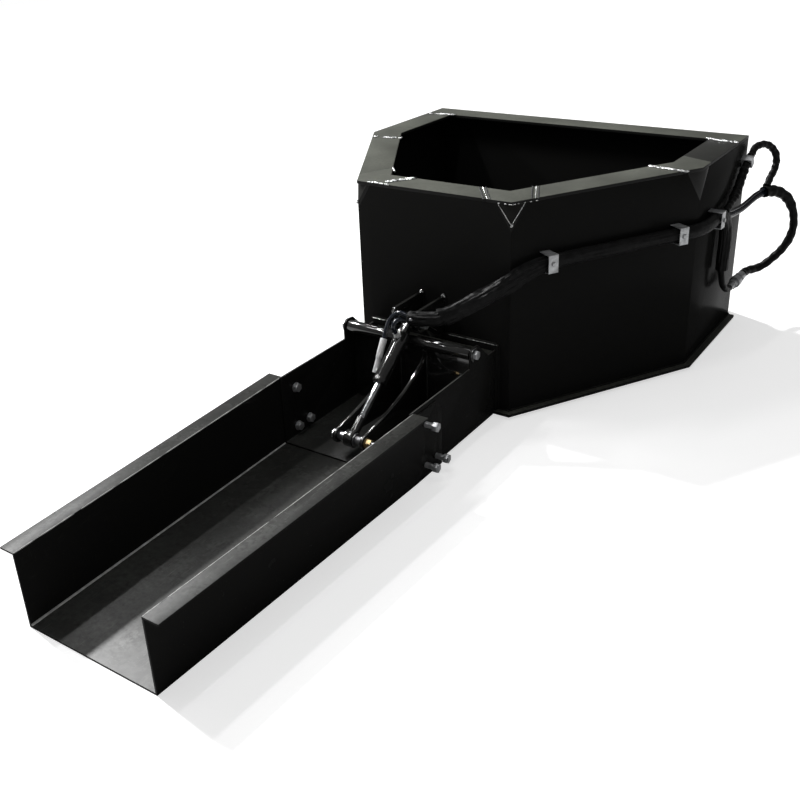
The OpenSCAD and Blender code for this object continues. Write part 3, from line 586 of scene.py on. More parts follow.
def weave_group():
    """A plain weave laid on a piece's own UV map, u round it and v along it in metres."""
    tree, given, out = shader_group("plain_weave", "Height", "Threads")
    place = added(tree, "ShaderNodeUVMap", {})
    split = added(tree, "ShaderNodeSeparateXYZ", {"Vector": place.outputs["UV"]})
    waves = []
    for axis in ("X", "Y"):
        turns = product(tree, split.outputs[axis], given.outputs["Threads"])
        waves.append(math_node(tree, "SINE", product(tree, turns, 2 * math.pi), 0))
    weave = product(tree, *waves)
    fill(tree, out, {"Height": total(tree, product(tree, weave, 0.5), 0.5)})
    return tree


def bump(tree, height, strength, distance=0.001):
    inputs = {"Height": height, "Strength": strength, "Distance": distance}
    return added(tree, "ShaderNodeBump", inputs).outputs["Normal"]


def mixed_colour(tree, mask, low, high):
    inputs = {"Factor": mask, "A": (*low, 1), "B": (*high, 1)}
    return added(tree, "ShaderNodeMix", inputs, data_type="RGBA").outputs["Result"]


def only_seen(tree, strength):
    """The strength for what the camera sees, and nothing for what lights other things."""
    paths = added(tree, "ShaderNodeLightPath", {})
    return product(tree, paths.outputs["Is Camera Ray"], strength)


# Materials


def blank_material(name):
    """A material, its tree and its one Principled shader."""
    material = bpy.data.materials.new(name)
    material.use_nodes = True
    return material, material.node_tree, material.node_tree.nodes["Principled BSDF"]


def paint(name, groups, finish, dust, even, low, high, scuffs=0.3, shine=0.1, glare=False):
    """Black paint with dust on top, faint scuffs and, with glare, a coat worn glossy. On the rim the dust
    also stands for a painted sheen of the sky on its top.
    """
    material, tree, shader = blank_material(name)
    lying = placed_group(tree, groups["dust"], Amount=finish.dust_and_sheen_amount * dust, Even=even)
    scuff = placed_group(tree, groups["scuff"], Amount=scuffs)
    peel = placed_group(tree, groups["peel"], Strength=finish.peel)
    cover = total(tree, lying, product(tree, scuff, 0.35), clamp=True)
    rough = total(tree, product(tree, noise_node(tree, 9.0, 4), high - low), low)
    fill(tree, shader, {
        "Base Color": mixed_colour(tree, cover, finish.paint, finish.dust),
        "Roughness": total(tree, rough, product(tree, cover, 0.45), clamp=True),
        "Normal": bump(tree, peel, 0.35),
        "Specular IOR Level": shine, "Coat Roughness": 0.46, "Coat IOR": 1.4})
    if glare:
        fill(tree, shader, {"Coat Weight": placed_group(tree, groups["dust"], Amount=0.7, Even=0.7)})
    return material


def plated(name, colour, low, high, grain=300.0, metal=1.0):
    """Plated or bare metal with uneven gloss and faint stains."""
    material, tree, shader = blank_material(name)
    stain = ramp(tree, noise_node(tree, 60.0, 5), 0.35, 0.75)
    dark = tuple(c * 0.55 for c in colour)
    cloud = noise_node(tree, grain, 4)
    fill(tree, shader, {
        "Base Color": mixed_colour(tree, stain, colour, dark), "Metallic": metal,
        "Roughness": total(tree, product(tree, cloud, high - low), low),
        "Normal": bump(tree, cloud, 0.12, 0.0004)})
    return material


def rubber(name, colour, gloss):
    """Hose rubber with fine dust in its creases."""
    material, tree, shader = blank_material(name)
    stain = ramp(tree, noise_node(tree, 45.0, 6), 0.45, 0.85)
    pale = tuple(c * 2.0 + 0.008 for c in colour)
    cloud = noise_node(tree, 160.0, 4)
    fill(tree, shader, {
        "Base Color": mixed_colour(tree, stain, colour, pale), "Specular IOR Level": 0.45,
        "Roughness": total(tree, product(tree, cloud, 0.25), gloss),
        "Normal": bump(tree, cloud, 0.15, 0.0006)})
    return material


def cloth(name, groups, colour):
    """Woven nylon sleeve: a fine weave, creases, and dust on the crowns of its folds."""
    material, tree, shader = blank_material(name)
    weave = placed_group(tree, groups["weave"], Threads=420.0)
    crease = noise_node(tree, 38.0, 6, rough=0.6)
    worn = ramp(tree, crease, 0.45, 0.85)
    pale = tuple(c * 2.0 + 0.003 for c in colour)
    height = total(tree, product(tree, weave, 0.25), product(tree, crease, 3.0))
    fill(tree, shader, {
        "Base Color": mixed_colour(tree, worn, colour, pale), "Specular IOR Level": 0.1,
        "Roughness": ramp(tree, crease, -0.3, 1.7), "Normal": bump(tree, height, 0.5, 0.0012)})
    return material


def bead_metal(name):
    """Bare weld metal: bright ripples with burnt, dark hollows."""
    material, tree, shader = blank_material(name)
    burnt = ramp(tree, noise_node(tree, 170.0, 3), 0.48, 0.6)
    fill(tree, shader, {
        "Base Color": mixed_colour(tree, burnt, (0.9, 0.91, 0.9), (0.09, 0.09, 0.09)), "Metallic": 1.0,
        "Roughness": ramp(tree, noise_node(tree, 350.0, 3), -0.2, 1.9)})
    return material


# Each paint's share of the dust, which on the rim also stands for a painted sheen of the sky on its top, how
# even it lies, its roughness from low to high, its scuffs and its shine
PAINTS = {
    "wall": dict(name="gloss_black_wall", dust=0.35, even=0.1, low=0.14, high=0.28, scuffs=0.1, shine=0.008),
    "gusset": dict(name="satin_black_gusset", dust=1, even=0.3, low=0.3, high=0.45, scuffs=0.1),
    "rim": dict(name="satin_black_rim", dust=1, even=0.6, low=0.34, high=0.5),
    # The rim's right side strip takes little of the dust, so it is darker, with less dust and less of the
    # painted sheen
    "rim_less_dust_and_sheen": dict(name="black_rim_less_dust_and_sheen", dust=0.14, even=0.6, low=0.34, high=0.5),
    "chute": dict(name="worn_black_chute", dust=0.22, even=0.2, low=0.18, high=0.32, scuffs=0.8, shine=0.03,
                  glare=True),
    "gate": dict(name="gloss_black_gate", dust=0.1, even=0.1, low=0.05, high=0.09, scuffs=0.05, shine=0.9),
}
MATERIALS = {}


class HOPPER_OT_make_finishes(bpy.types.Operator):
    """Make the shader groups and every material of the hopper"""

    bl_idname = "hopper.make_finishes"
    bl_label = "Make Finishes"

    def execute(self, context):
        finish = context.scene.hopper_finish
        groups = {"dust": dust_and_sheen_group(), "peel": peel_group(), "scuff": scuff_group(), "weave": weave_group()}
        for key, look in PAINTS.items():
            MATERIALS[key] = paint(groups=groups, finish=finish, **look)
        MATERIALS.update({
            "zinc": plated("zinc_plate", tuple(finish.zinc), 0.22, 0.42, metal=0.65),
            # Near-white and mostly diffuse: the crimps' own pale zinc, with the bright reflections of their
            # surroundings painted in
            "bright": plated("crimp_painted_reflection", (0.92, 0.92, 0.92), 0.25, 0.45, metal=0.35),
            "yellow": plated("yellow_zinc", tuple(finish.yellow), 0.2, 0.4),
            "steel": plated("bare_steel", (0.36, 0.36, 0.37), 0.25, 0.45),
            "chrome": plated("rod_chrome", (0.86, 0.87, 0.89), 0.04, 0.12, grain=900.0),
            "bead": bead_metal("bare_weld"),
            # A pale grey on the chute's floor bends and top edges: painted highlight
            "painted_highlight": rubber("painted_highlight_grey", (0.3, 0.3, 0.29), 0.4),
            "hose": rubber("hose_rubber", (0.008, 0.008, 0.009), 0.3),
            # Black rubber with a faint blue tint that paints in the bluish sheen of the hoses
            "blue_sheen_hose": rubber("jumper_rubber", (0.006, 0.008, 0.013), 0.08),
            "sleeve": cloth("sleeve_nylon", groups, (0.0055, 0.0055, 0.0055)),
        })
        return {"FINISHED"}


class HOPPER_OT_paint_shell(bpy.types.Operator):
    """Paint the hopper's walls, floor, gussets, door frame and attach face"""

    bl_idname = "hopper.paint_shell"
    bl_label = "Paint Shell"

    def execute(self, context):
        edge = context.scene.hopper_sizes.edge
        finish_nodes(("front_plate", "angled_plate_left", "angled_plate_right", "side_plate_left",
                      "side_plate_right", "back_plate", "door_frame", "attach_plate", "attach_hook",
                      "attach_ledge", "attach_ribs"), edge, "wall")
        finish_nodes(("corner_gussets", "floor_plate"), edge, "gusset")
        return {"FINISHED"}


class HOPPER_OT_paint_rim(bpy.types.Operator):
    """Paint the flat strips round the hopper's rim"""

    bl_idname = "hopper.paint_rim"
    bl_label = "Paint Rim"

    def execute(self, context):
        edge = context.scene.hopper_sizes.edge * 1.4
        finish_nodes(("rim_front", "rim_corner_pieces", "rim_angled_left", "rim_angled_right",
                      "rim_side_left"), edge, "rim")
        finish_nodes(("rim_side_right",), edge, "rim_less_dust_and_sheen")
        finish_nodes(("rim_back",), edge, "rim")
        return {"FINISHED"}


class HOPPER_OT_paint_chute(bpy.types.Operator):
    """Paint both chute sections"""

    bl_idname = "hopper.paint_chute"
    bl_label = "Paint Chute"

    def execute(self, context):
        finish_nodes(("chute_rear", "chute_front"), context.scene.hopper_sizes.edge, "chute")
        return {"FINISHED"}


class HOPPER_OT_finish_gate(bpy.types.Operator):
    """Finish the gate, its pivot shaft and the cylinder that works it"""

    bl_idname = "hopper.finish_gate"
    bl_label = "Finish Gate"

    def execute(self, context):
        edge = context.scene.hopper_sizes.edge
        finish_nodes(("gate_plate", "gate_hinge_tubes", "gate_arm_left", "gate_arm_right", "cylinder_lugs",
                      "cylinder_barrel", "cylinder_gland", "rod_eye", "shaft_washers", "pivot_shaft"),
                     edge, "gate")
        finish_nodes(("nose_spacers", "piston", "piston_nut"), edge * 0.6, "steel")
        finish_nodes(("rod_seal", "piston_seal"), 0, "hose")
        finish_nodes(("piston_rod",), edge * 0.5, "chrome")
        return {"FINISHED"}


class HOPPER_OT_finish_hardware(bpy.types.Operator):
    """Finish bolts, nuts, pins, clamps and hose fittings"""

    bl_idname = "hopper.finish_hardware"
    bl_label = "Finish Hardware"

    def execute(self, context):
        edge = context.scene.hopper_sizes.edge * 0.8
        finish_nodes(("chute_bolts", "chute_nuts", "chute_washers", "shaft_bolts", "base_pin", "base_pin_nut",
                      "nose_pin", "hose_clamps", "clamp_bolts", "riser_clamp", "coupler_plug",
                      "coupler_socket", "coupler_collar"), edge, "zinc")
        finish_nodes(("rod_port_fitting", "base_port_fitting"), edge, "bright")
        finish_nodes(("nose_pin_nut",), edge, "yellow")
        return {"FINISHED"}


# Welds


def rim_inner(i):
    """Corner i of the rim's inner edge."""
    before, here, after = PLAN[i - 1], PLAN[i], PLAN[(i + 1) % 6]
    a, b = (here - before).normalized(), (after - here).normalized()
    n1, n2 = Vector((-a.y, a.x)), Vector((-b.y, b.x))
    c = n1.dot(n2)
    return here + (n1 + n2) * RIM_W * (1 - c) / (1 - c * c)


# The rim's joints that carry bare beads: two corners of the plan, or a corner and a side at the back, and
# stretches as shares of the way from the rim's outer edge to its inner one
BARE_JOINTS = [
    (0, 1, [(0.24, 1.02)]), (2, 1, [(-0.12, 1.02)]),
    (5, 0, [(0.06, 0.17), (0.42, 0.83), (0.97, 1.03)])]
THIN_JOINTS = [(1, 0, [(0.0, 0.97)]), (1, 2, [(0.0, 0.97)])]
BACK_JOINTS = [(3, 1, [(0.02, 1.1)]), (4, -1, [(0.14, 0.45), (0.52, 0.78), (0.86, 1.15)])]

# Thin bare strokes along the front edge and on the right front gusset's outline, and strokes on the door
# frame's top that are painted highlights of its top edge
EDGE_STROKE = ((0.215, -0.002), (0.266, -0.002), (0.312, 0.074))
EDGE_STROKE_DROP = 7 * MM
GUSSET_TIP = (FRONT_HALF, -0.5 * MM, RIM_LOW - 58 * MM)
GUSSET_TOPS = ((FRONT_HALF - 42 * MM, -1 * MM, RIM_LOW), (FRONT_HALF + 22 * MM, 37 * MM, RIM_LOW))
DOOR_HIGHLIGHT_STROKES = ((-0.222, -0.156), (0.062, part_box("door_frame")[1].x - 2 * MM))

# Dull strokes on the rim, as two ends, a swing and a seed
DULL_STROKES = (((-0.224, 0.003), (-0.150, 0.003), 0.003, 12), ((-0.252, 0.180), (-0.215, 0.135), 0.002, 17))

# Lumps of weld at the top of a lug, as (to its side, up)
LUG_LUMPS = ((-1, -2), (0, 3), (1, -2), (0, -5))
LUG_T = 10 * MM
DOOR_T = 10 * MM
DOOR_ROUND = 12 * MM


def bare_stretches(joints, back_joints=()):
    """The stretches of the rim's joints that carry a bare bead, a little above the rim."""
    pairs = []
    for i, j, parts in joints:
        outer = PLAN[i] + (PLAN[j] - PLAN[i]).normalized() * RIM_CUT_OUT
        a, b = rim_inner(i), rim_inner(j)
        pairs.append((outer, a + (b - a).normalized() * RIM_CUT_IN, parts))
    for i, side, parts in back_joints:
        pairs.append((Vector((side * BACK_HALF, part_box("rim_back")[0].y)), rim_inner(i), parts))
    return [tuple(Vector((*outer.lerp(inner, f), RIM_TOP + 0.4 * MM)) for f in part)
            for outer, inner, parts in pairs for part in parts]


def dashes(line, keep_share, seed):
    """A line cut into short strokes, with gaps between them where the bead is missing."""
    strokes, stroke = [], []
    for k, p in enumerate(line):
        if noise.noise(Vector((k * 0.9, seed, 3.0))) * 0.5 + 0.5 < keep_share:
            stroke.append(p)
        else:
            strokes.append(stroke)
            stroke = []
    return [row for row in strokes + [stroke] if len(row) > 1]


def wavy(a, b, step, swing, seed):
    """A hand-laid line between two points: it wanders a little to each side."""
    count = max(2, int((b - a).length / step))
    upright = abs((b - a).normalized().z) >= 0.9
    side = Vector((1, 0, 0)) if upright else (b - a).cross(Vector((0, 0, 1))).normalized()
    return [a.lerp(b, k / count) + side * swing * noise.noise(Vector((k * 0.7, seed, 0)))
            for k in range(count + 1)]


def beside(a, b, half, k):
    """Both ends of a stretch, moved to its side by k half widths."""
    shift = (b - a).cross(Vector((0, 0, 1))).normalized() * half * k
    return a + shift, b + shift


def rim_strokes(half):
    """Three broken strokes side by side on each bare joint of the rim."""
    lines = []
    for n, (a, b) in enumerate(bare_stretches(BARE_JOINTS, BACK_JOINTS)):
        for k in (-0.85, -0.2, 0.5):
            lines += dashes(wavy(*beside(a, b, half, k), 0.004, 0.005, n + k), 0.6, n * 3 + k)
    return lines


def rim_borders(half):
    """A line on each side of every welded joint of the rim."""
    return [wavy(*beside(a, b, half, k), 0.006, 0.003, n * 2 + k)
            for n, (a, b) in enumerate(bare_stretches(BARE_JOINTS + THIN_JOINTS, BACK_JOINTS))
            for k in (-1.5, 1.3)]


def thin_strokes():
    """Thin strokes on two of the rim's joints, its front edge and a gusset, and on the door frame's top,
    where they are painted highlights of its top edge.
    """
    lines = [wavy(a, b, 0.006, 0.002, 21) for a, b in bare_stretches(THIN_JOINTS)]
    edge = [Vector((x, y, RIM_TOP - EDGE_STROKE_DROP)) for x, y in EDGE_STROKE]
    for n, (a, b) in enumerate(zip(edge, edge[1:])):
        lines += dashes(wavy(a, b, 0.004, 0.002, 31), 0.56, 40 + n)
    for n, top in enumerate(GUSSET_TOPS):
        lines += dashes(wavy(Vector(GUSSET_TIP), Vector(top), 0.006, 0.001, 5), 0.66, 50 + n)
    low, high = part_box("door_frame")
    for x0, x1 in DOOR_HIGHLIGHT_STROKES:
        lines.append([Vector((x0, low.y, high.z)), Vector((x1, low.y, high.z))])
    return lines


def dull_strokes():
    """Broken strokes on the rim's left front corner, away from its joints."""
    lines = []
    for n, (a, b, swing, seed) in enumerate(DULL_STROKES):
        line = wavy(Vector((*a, RIM_TOP)), Vector((*b, RIM_TOP)), 0.004, swing, seed)
        lines += dashes(line, 0.62, 60 + n)
    return lines


def weld_lumps():
    """Lumps of weld at the tops of the lugs and at the tips of the front gussets."""
    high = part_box("cylinder_lugs")[1]
    spots = []
    for s in (-1, 1):
        x = s * (high.x - LUG_T / 2)
        spots.append([Vector((x + side * 4 * MM, -3 * MM, high.z + up * MM)) for side, up in LUG_LUMPS])
        tip = Vector((s * FRONT_HALF, 0, RIM_LOW - 59 * MM))
        spots.append([tip + Vector((s * 1 * MM, -2 * MM, 0)), tip + Vector((s * 3 * MM, 1 * MM, 5 * MM))])
    return spots


def ripples(pitch, smallest, largest, seed, finish):
    """What the weld tree is given: the ripples' distance, their least and greatest half sizes, and a seed."""
    return {"Pitch": pitch, "Smallest": smallest, "Largest": largest, "Seed": seed,
            "Material": MATERIALS[finish]}


class HOPPER_OT_bare_welds(bpy.types.Operator):
    """Lay the bare, shiny weld beads over the rim's joints, the gusset tips and the lugs, and bright strokes
    on the door frame's top as painted highlights
    """

    bl_idname = "hopper.bare_welds"
    bl_label = "Lay Bare Welds"

    def execute(self, context):
        sizes = context.scene.hopper_sizes
        half, pitch = sizes.bead, sizes.pitch
        beads = (
            ("rim_weld_beads", rim_strokes(half), "chute_nuts", ripples(
                pitch * 0.8, (pitch * 0.5, half * 0.35, half * 0.25), (pitch * 1.1, half * 0.85, half * 0.6),
                4, "bead")),
            ("rim_burnt_borders", rim_borders(half), "rim_front", ripples(
                pitch * 0.8, (pitch * 0.8, half * 0.3, half * 0.1), (pitch, half * 0.5, half * 0.16),
                4, "hose")),
            ("thin_beads_and_highlights", thin_strokes(), "chute_nuts", ripples(
                pitch * 0.35, (half * 0.13,) * 3, (half * 0.25,) * 3, 4, "bead")),
            ("rim_edge_beads", dull_strokes(), "chute_nuts", ripples(
                pitch * 0.7, (pitch * 0.5, half * 0.3, half * 0.22), (pitch * 1.0, half * 0.7, half * 0.5),
                4, "bead")),
            ("lug_weld_spots", weld_lumps(), "chute_nuts", ripples(
                pitch * 0.6, (half * 0.5,) * 3, (half * 0.75,) * 3, 9, "bead")))
        tree = weld_tree()
        for name, lines, like, values in beads:
            built_by_tree(name, lines, tree, values, "hopper")
        return {"FINISHED"}


def outer_line(z, out):
    """The hopper's outline at one height, this far outside its walls, open at the back."""
    order = [3, 2, 1, 0, 5, 4]
    centre = Vector((0, BACK_Y * 0.6))
    return [Vector((p.x, p.y, z)) + Vector((*(p - centre).normalized(), 0)) * out
            for p in (PLAN[i] for i in order)]


def upright_line(x, y, low, high):
    return [Vector((x, y, low)), Vector((x, y, high))]


def shell_fillets(r):
    """Painted fillets round the floor ledge, the door frame and the lugs, and up the rear chute's walls."""
    out = r * 0.3
    around = outer_line(DECK + out, out)
    lines = [list(pair) for pair in zip(around, around[1:])]
    low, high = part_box("door_frame")
    lines += [upright_line(s * high.x, -out, low.z, high.z - DOOR_ROUND) for s in (-1, 1)]
    lines.append([Vector((low.x + DOOR_ROUND, -out, high.z)), Vector((high.x - DOOR_ROUND, -out, high.z))])
    top = high.z - 18 * MM
    low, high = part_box("cylinder_lugs")
    for s in (-1, 1):
        for x in (high.x + out, high.x - LUG_T - out):
            lines.append(upright_line(s * x, -out, low.z - 25 * MM, high.z))
    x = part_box("chute_rear")[1].x + out
    lines += [upright_line(s * x, -DOOR_T - out, DECK, top) for s in (-1, 1)]
    return lines


def gate_fillets(r):
    """Painted fillets that join the gate plate to its arms and its hinge tubes."""
    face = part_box("gate_plate")[0].y
    lines = []
    for node in ("gate_arm_left", "gate_arm_right"):
        low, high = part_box(node)
        for x in (low.x - r * 0.3, high.x + r * 0.3):
            lines.append(upright_line(x, face - r * 0.3, low.z + 12 * MM, high.z - 8 * MM))
    low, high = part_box("gate_hinge_tubes")
    y, z = face - r * 0.2, low.z + 5 * MM
    lines += [[Vector((s * 34 * MM, y, z)), Vector((s * high.x, y, z))] for s in (-1, 1)]
    return lines


class HOPPER_OT_fillet_welds(bpy.types.Operator):
    """Lay the painted fillet welds along the floor ledge, door frame, lugs, rear chute and gate"""

    bl_idname = "hopper.fillet_welds"
    bl_label = "Lay Fillet Welds"

    def execute(self, context):
        sizes = context.scene.hopper_sizes
        r, pitch = sizes.fillet, sizes.pitch
        tree = weld_tree()
        for name, lines, body, like, finish in (
                ("shell_fillet_welds", shell_fillets(r), "hopper", "front_plate", "wall"),
                ("gate_fillet_welds", gate_fillets(r), "gate", "gate_plate", "gate")):
            values = ripples(pitch, (pitch * 0.8, r * 0.85, r * 0.85), (pitch * 1.05, r, r), 2, finish)
            built_by_tree(name, lines, tree, values, body)
        return {"FINISHED"}


# Chute and threads


def cove_mesh(name, a, b, inward, r):
    """A hollow strip that rounds the corner between the chute's floor and its wall, pale as a painted
    highlight along the bend.
    """
    work = bmesh.new()
    section = [(-0.5 * MM, -0.5 * MM)]
    section += [(r - r * math.sin(t), r - r * math.cos(t)) for t in (k * math.pi / 12 for k in range(7))]
    rings = [[work.verts.new(p + inward * u + Vector((0, 0, v))) for u, v in section] for p in (a, b)]
    for k in range(len(section)):
        m = (k + 1) % len(section)
        work.faces.new((rings[0][k], rings[0][m], rings[1][m], rings[1][k]))
    for ring in rings:
        work.faces.new(ring)
    return mesh_of(work, name, [MATERIALS["painted_highlight"]])


def highlight_line_mesh(name, a, b, seed):
    """A thin, uneven pale line along an edge: a painted highlight."""
    steps = 90
    line = [a.lerp(b, k / steps) for k in range(steps + 1)]
    rings = [(k, HIGHLIGHT_LINE_R, HIGHLIGHT_LINE_R) for k in range(steps + 1)]
    work = bmesh.new()
    add_tube(work, frames_along(line, (0, 0, 1)), rings, 10,
             lambda run, turn: 0.85 + 0.5 * noise.noise(Vector((run * 25, seed, 0))))
    return mesh_of(work, name, [MATERIALS["painted_highlight"]])


class HOPPER_OT_round_chute(bpy.types.Operator):
    """Round the bends between the front chute's floor and its walls, pale as painted highlights, and lay
    painted highlight lines along its top edges
    """

    bl_idname = "hopper.round_chute"
    bl_label = "Round Chute"

    def execute(self, context):
        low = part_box("chute_front")[0]
        mouth, deck = low.y + 1 * MM, low.z + CHUTE_PLATE
        for side, s in (("left", -1), ("right", 1)):
            a = Vector((s * (CHUTE_FLOOR_HALF[0] - CHUTE_PLATE), mouth, deck))
            b = Vector((s * (CHUTE_FLOOR_HALF[1] - CHUTE_PLATE), CHUTE_FLOOR_STEP, deck))
            name = "chute_bend_highlight_" + side
            keep(name, cove_mesh(name, a, b, Vector((-s, 0, 0)), BEND_R), "hopper")
            a = Vector((s * CHUTE_EDGE_HALF[0], mouth, CHUTE_EDGE_Z[0]))
            b = Vector((s * CHUTE_EDGE_HALF[1], CHUTE_EDGE_STEP, CHUTE_EDGE_Z[1]))
            name = "chute_edge_highlight_" + side
            keep(name, highlight_line_mesh(name, a, b, s), "hopper")
        return {"FINISHED"}


class HOPPER_OT_cut_threads(bpy.types.Operator):
    """Cut threads on the free ends of the chute's bolts and of the nose pin"""

    bl_idname = "hopper.cut_threads"
    bl_label = "Cut Threads"

    def execute(self, context):
        pitch = context.scene.hopper_sizes.thread
        values = {"Pitch": pitch, "Radius": THREAD_R, "Thickness": pitch * 0.5, "Material": MATERIALS["zinc"]}
        tree = ridge_tree()
        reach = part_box("chute_bolts")[1].x - 0.6 * MM
        lines = [[Vector((s * CHUTE_WALL_HALF, y, z)), Vector((s * reach, y, z))]
                 for y, z in CHUTE_BOLTS for s in (-1, 1)]
        built_by_tree("chute_bolt_threads", lines, tree, values, "hopper")
        low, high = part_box("nose_pin")
        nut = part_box("nose_pin_nut")[1].x
        y, z = (low.y + high.y) / 2, (low.z + high.z) / 2
        line = [Vector((nut + 1 * MM, y, z)), Vector((high.x - 1 * MM, y, z))]
        built_by_tree("nose_pin_threads", [line], tree, values, "gate")
        return {"FINISHED"}


# Hoses


def ruffled(depth, pitch, seed):
    """Gathered cloth: rings that pucker unevenly along and round a sleeve."""
    def shape(run, turn):
        ring = math.sin(2 * math.pi * run / pitch + 1.3 * noise.noise(Vector((run * 30, seed, 0))))
        fold = noise.noise(Vector((run * 55, math.cos(turn) * 1.4, math.sin(turn) * 1.4 + seed)))
        return 1 + depth * (0.45 * ring + 0.9 * fold) - depth * 0.6
    return shape


def creased(depths, seed):
    """A loose sleeve drawn along its hoses: long soft folds, as deep as the table says along it."""
    def shape(run, turn):
        depth = read_between(depths, run)
        fold = noise.noise(Vector((run * 12, math.cos(turn) * 1.5, math.sin(turn) * 1.5 + seed)))
        long_fold = abs(noise.noise(Vector((run * 4 + seed, math.cos(turn) * 3, math.sin(turn) * 3))))
        fine = noise.noise(Vector((run * 60, math.cos(turn) * 3 + seed, math.sin(turn) * 3)))
        return 1 + depth * (0.6 * fold - 1.5 * long_fold + 0.35 * fine)
    return shape


def add_stud(work, frame):
    """Adds the cuff's snap stud, square to the cloth at one of its frames."""
    at, across, up = frame
    way, along = Vector(STUD_WAY), across.cross(up)
    way = (way - along * way.dot(along)).normalized()
    line = [at + way * distance for distance, r in STUD]
    add_tube(work, frames_along(line, (1, 0, 0)), [(k, r, r) for k, (_, r) in enumerate(STUD)], 16, None, 1)


class HOPPER_OT_draw_sleeve(bpy.types.Operator):
    """Draw the woven sleeve along the right wall and the cuff in its open front end"""

    bl_idname = "hopper.draw_sleeve"
    bl_label = "Draw Sleeve"

    def execute(self, context):
        per = 12
        line = smooth_route(metres(SLEEVE_ROUTE), per)
        frames = frames_along(line, (0, 0, 1))
        wide = [(k, SLEEVE_TALL * read_between(TALL, k / per), SLEEVE_THICK * read_between(THICK, k / per))
                for k in range(len(line))]
        start = CUFF_END * per
        work = bmesh.new()
        cuff = wide[:start] + [(k, *wide[start - 2][1:]) for k in range(start, start + 8)]
        add_tube(work, frames, cuff, 40, creased(CUFF_FOLDS, 7))
        slant = [(p, across + across.cross(up) * -0.5 * max(0.0, 1 - abs(k - start) / 14), up)
                 for k, (p, across, up) in enumerate(frames)]
        rings = open_mouth(start, *wide[start][1:]) + wide[start:]
        add_tube(work, slant, rings, 48, creased(SLEEVE_FOLDS, 3))
        add_stud(work, frames[5])
        mesh = mesh_of(work, "hose_sleeve_cloth", [MATERIALS["sleeve"], MATERIALS["steel"]])
        piece = keep("hose_sleeve_cloth", mesh, "hopper")
        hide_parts("hose_sleeve")
        return {"FINISHED"}


def hang(name, work, materials, nodes):
    """A free hose from the mesh in work."""
    piece = keep(name, mesh_of(work, name, materials), "hopper")
    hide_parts(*nodes)
    return piece


def hang_lower_loop(per):
    """The loop from the sleeve's rear end to the coupler, bare where it starts and then wrapped."""
    line = smooth_route(metres(LOOP_ROUTE), per)
    frames = frames_along(line, (1, 0, 0))
    mouth = int(WRAP_START * per)
    work = bmesh.new()
    for height, r in BARE_HOSES:
        bare = [(p + up * height, across, up) for p, across, up in frames[:mouth + 12]]
        add_tube(work, bare, [(k, r, r) for k in range(len(bare))], 16, None, 1)
    wide = [(k, LOOP_R * read_between(WRAP, k / per)) for k in range(len(line))]
    rings = open_mouth(mouth, wide[mouth][1], wide[mouth][1]) + [(k, r, r) for k, r in wide[mouth:]]
    add_tube(work, frames, rings, 28, ruffled(0.12, 0.034, 1))
    hang("lower_hose_loop", work, [MATERIALS["sleeve"], MATERIALS["blue_sheen_hose"]],
         ["hose_loop_lower"])


def hang_upper_loop(per):
    """The wrapped riser behind the clamp and the loop above it."""
    line = smooth_route(metres(UPPER_ROUTE), per)
    wide = [(k, RISER_R * read_between(RISER, k / per)) for k in range(len(line))]
    work = bmesh.new()
    add_tube(work, frames_along(line, (1, 0, 0)), [(k, r, r) for k, r in wide], 26, ruffled(0.13, 0.024, 5))
    hang("upper_hose_loop", work, [MATERIALS["sleeve"]],
         ["hose_riser", "hose_loop_upper"])


def hang_return_hose(per):
    """The short wrapped hose down to the plug."""
    line = smooth_route(metres(RETURN_ROUTE)[::-1], per)
    rings = [(k, RETURN_R, RETURN_R) for k in range(len(line))]
    work = bmesh.new()
    add_tube(work, frames_along(line, (1, 0, 0)), rings, 24, ruffled(0.06, 0.028, 8))
    hang("return_hose", work, [MATERIALS["sleeve"]], ["hose_return"])


class HOPPER_OT_hang_hoses(bpy.types.Operator):
    """Hang the lower loop, the upper loop and the return hose behind the sleeve"""

    bl_idname = "hopper.hang_hoses"
    bl_label = "Hang Hoses"

    def execute(self, context):
        per = 10
        hang_lower_loop(per)
        hang_upper_loop(per)
        hang_return_hose(per)
        return {"FINISHED"}


class HOPPER_OT_bend_jumpers(bpy.types.Operator):
    """Bend the two short hoses from the sleeve's cuff to the cylinder's ports"""

    bl_idname = "hopper.bend_jumpers"
    bl_label = "Bend Jumpers"

    def execute(self, context):
        for name, (route, first, last) in JUMPERS.items():
            line = smooth_route(metres(route), 8)
            rings = [(k, JUMPER_R, JUMPER_R) for k in range(len(line))]
            work = bmesh.new()
            add_tube(work, frames_along(line, (0, 0, 1)), rings, 20)
            piece = placed(name, mesh_of(work, name, [MATERIALS["blue_sheen_hose"]]))
            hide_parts("jumper_hoses")
            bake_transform(piece)
        return {"FINISHED"}


# Studio


def soft_lamp(name, place, aim, size, power):
    """A round soft lamp that shines at aim."""
    lamp = bpy.data.lights.new(name, "AREA")
    lamp.shape = "DISK"
    lamp.size = size
    lamp.energy = power
    lamp_object = placed(name, lamp)
    lamp_object.location = place
    lamp_object.rotation_euler = (Vector(aim) - Vector(place)).to_track_quat("-Z", "Y").to_euler()


def tube_lamp(name, a, b, width, aim, radiance):
    """A bare tube lamp from a to b, as bright per area as said, that shines at aim."""
    a, b = Vector(a), Vector(b)
    lamp = bpy.data.lights.new(name, "AREA")
    lamp.shape = "RECTANGLE"
    lamp.size = (b - a).length
    lamp.size_y = width
    lamp.energy = radiance * math.pi * lamp.size * width
    back = ((a + b) / 2 - Vector(aim)).normalized()
    along = (b - a).normalized()
    along = (along - back * along.dot(back)).normalized()
    turn = Matrix((along, back.cross(along), back)).transposed()
    placed(name, lamp).matrix_world = Matrix.Translation((a + b) / 2) @ turn.to_4x4()


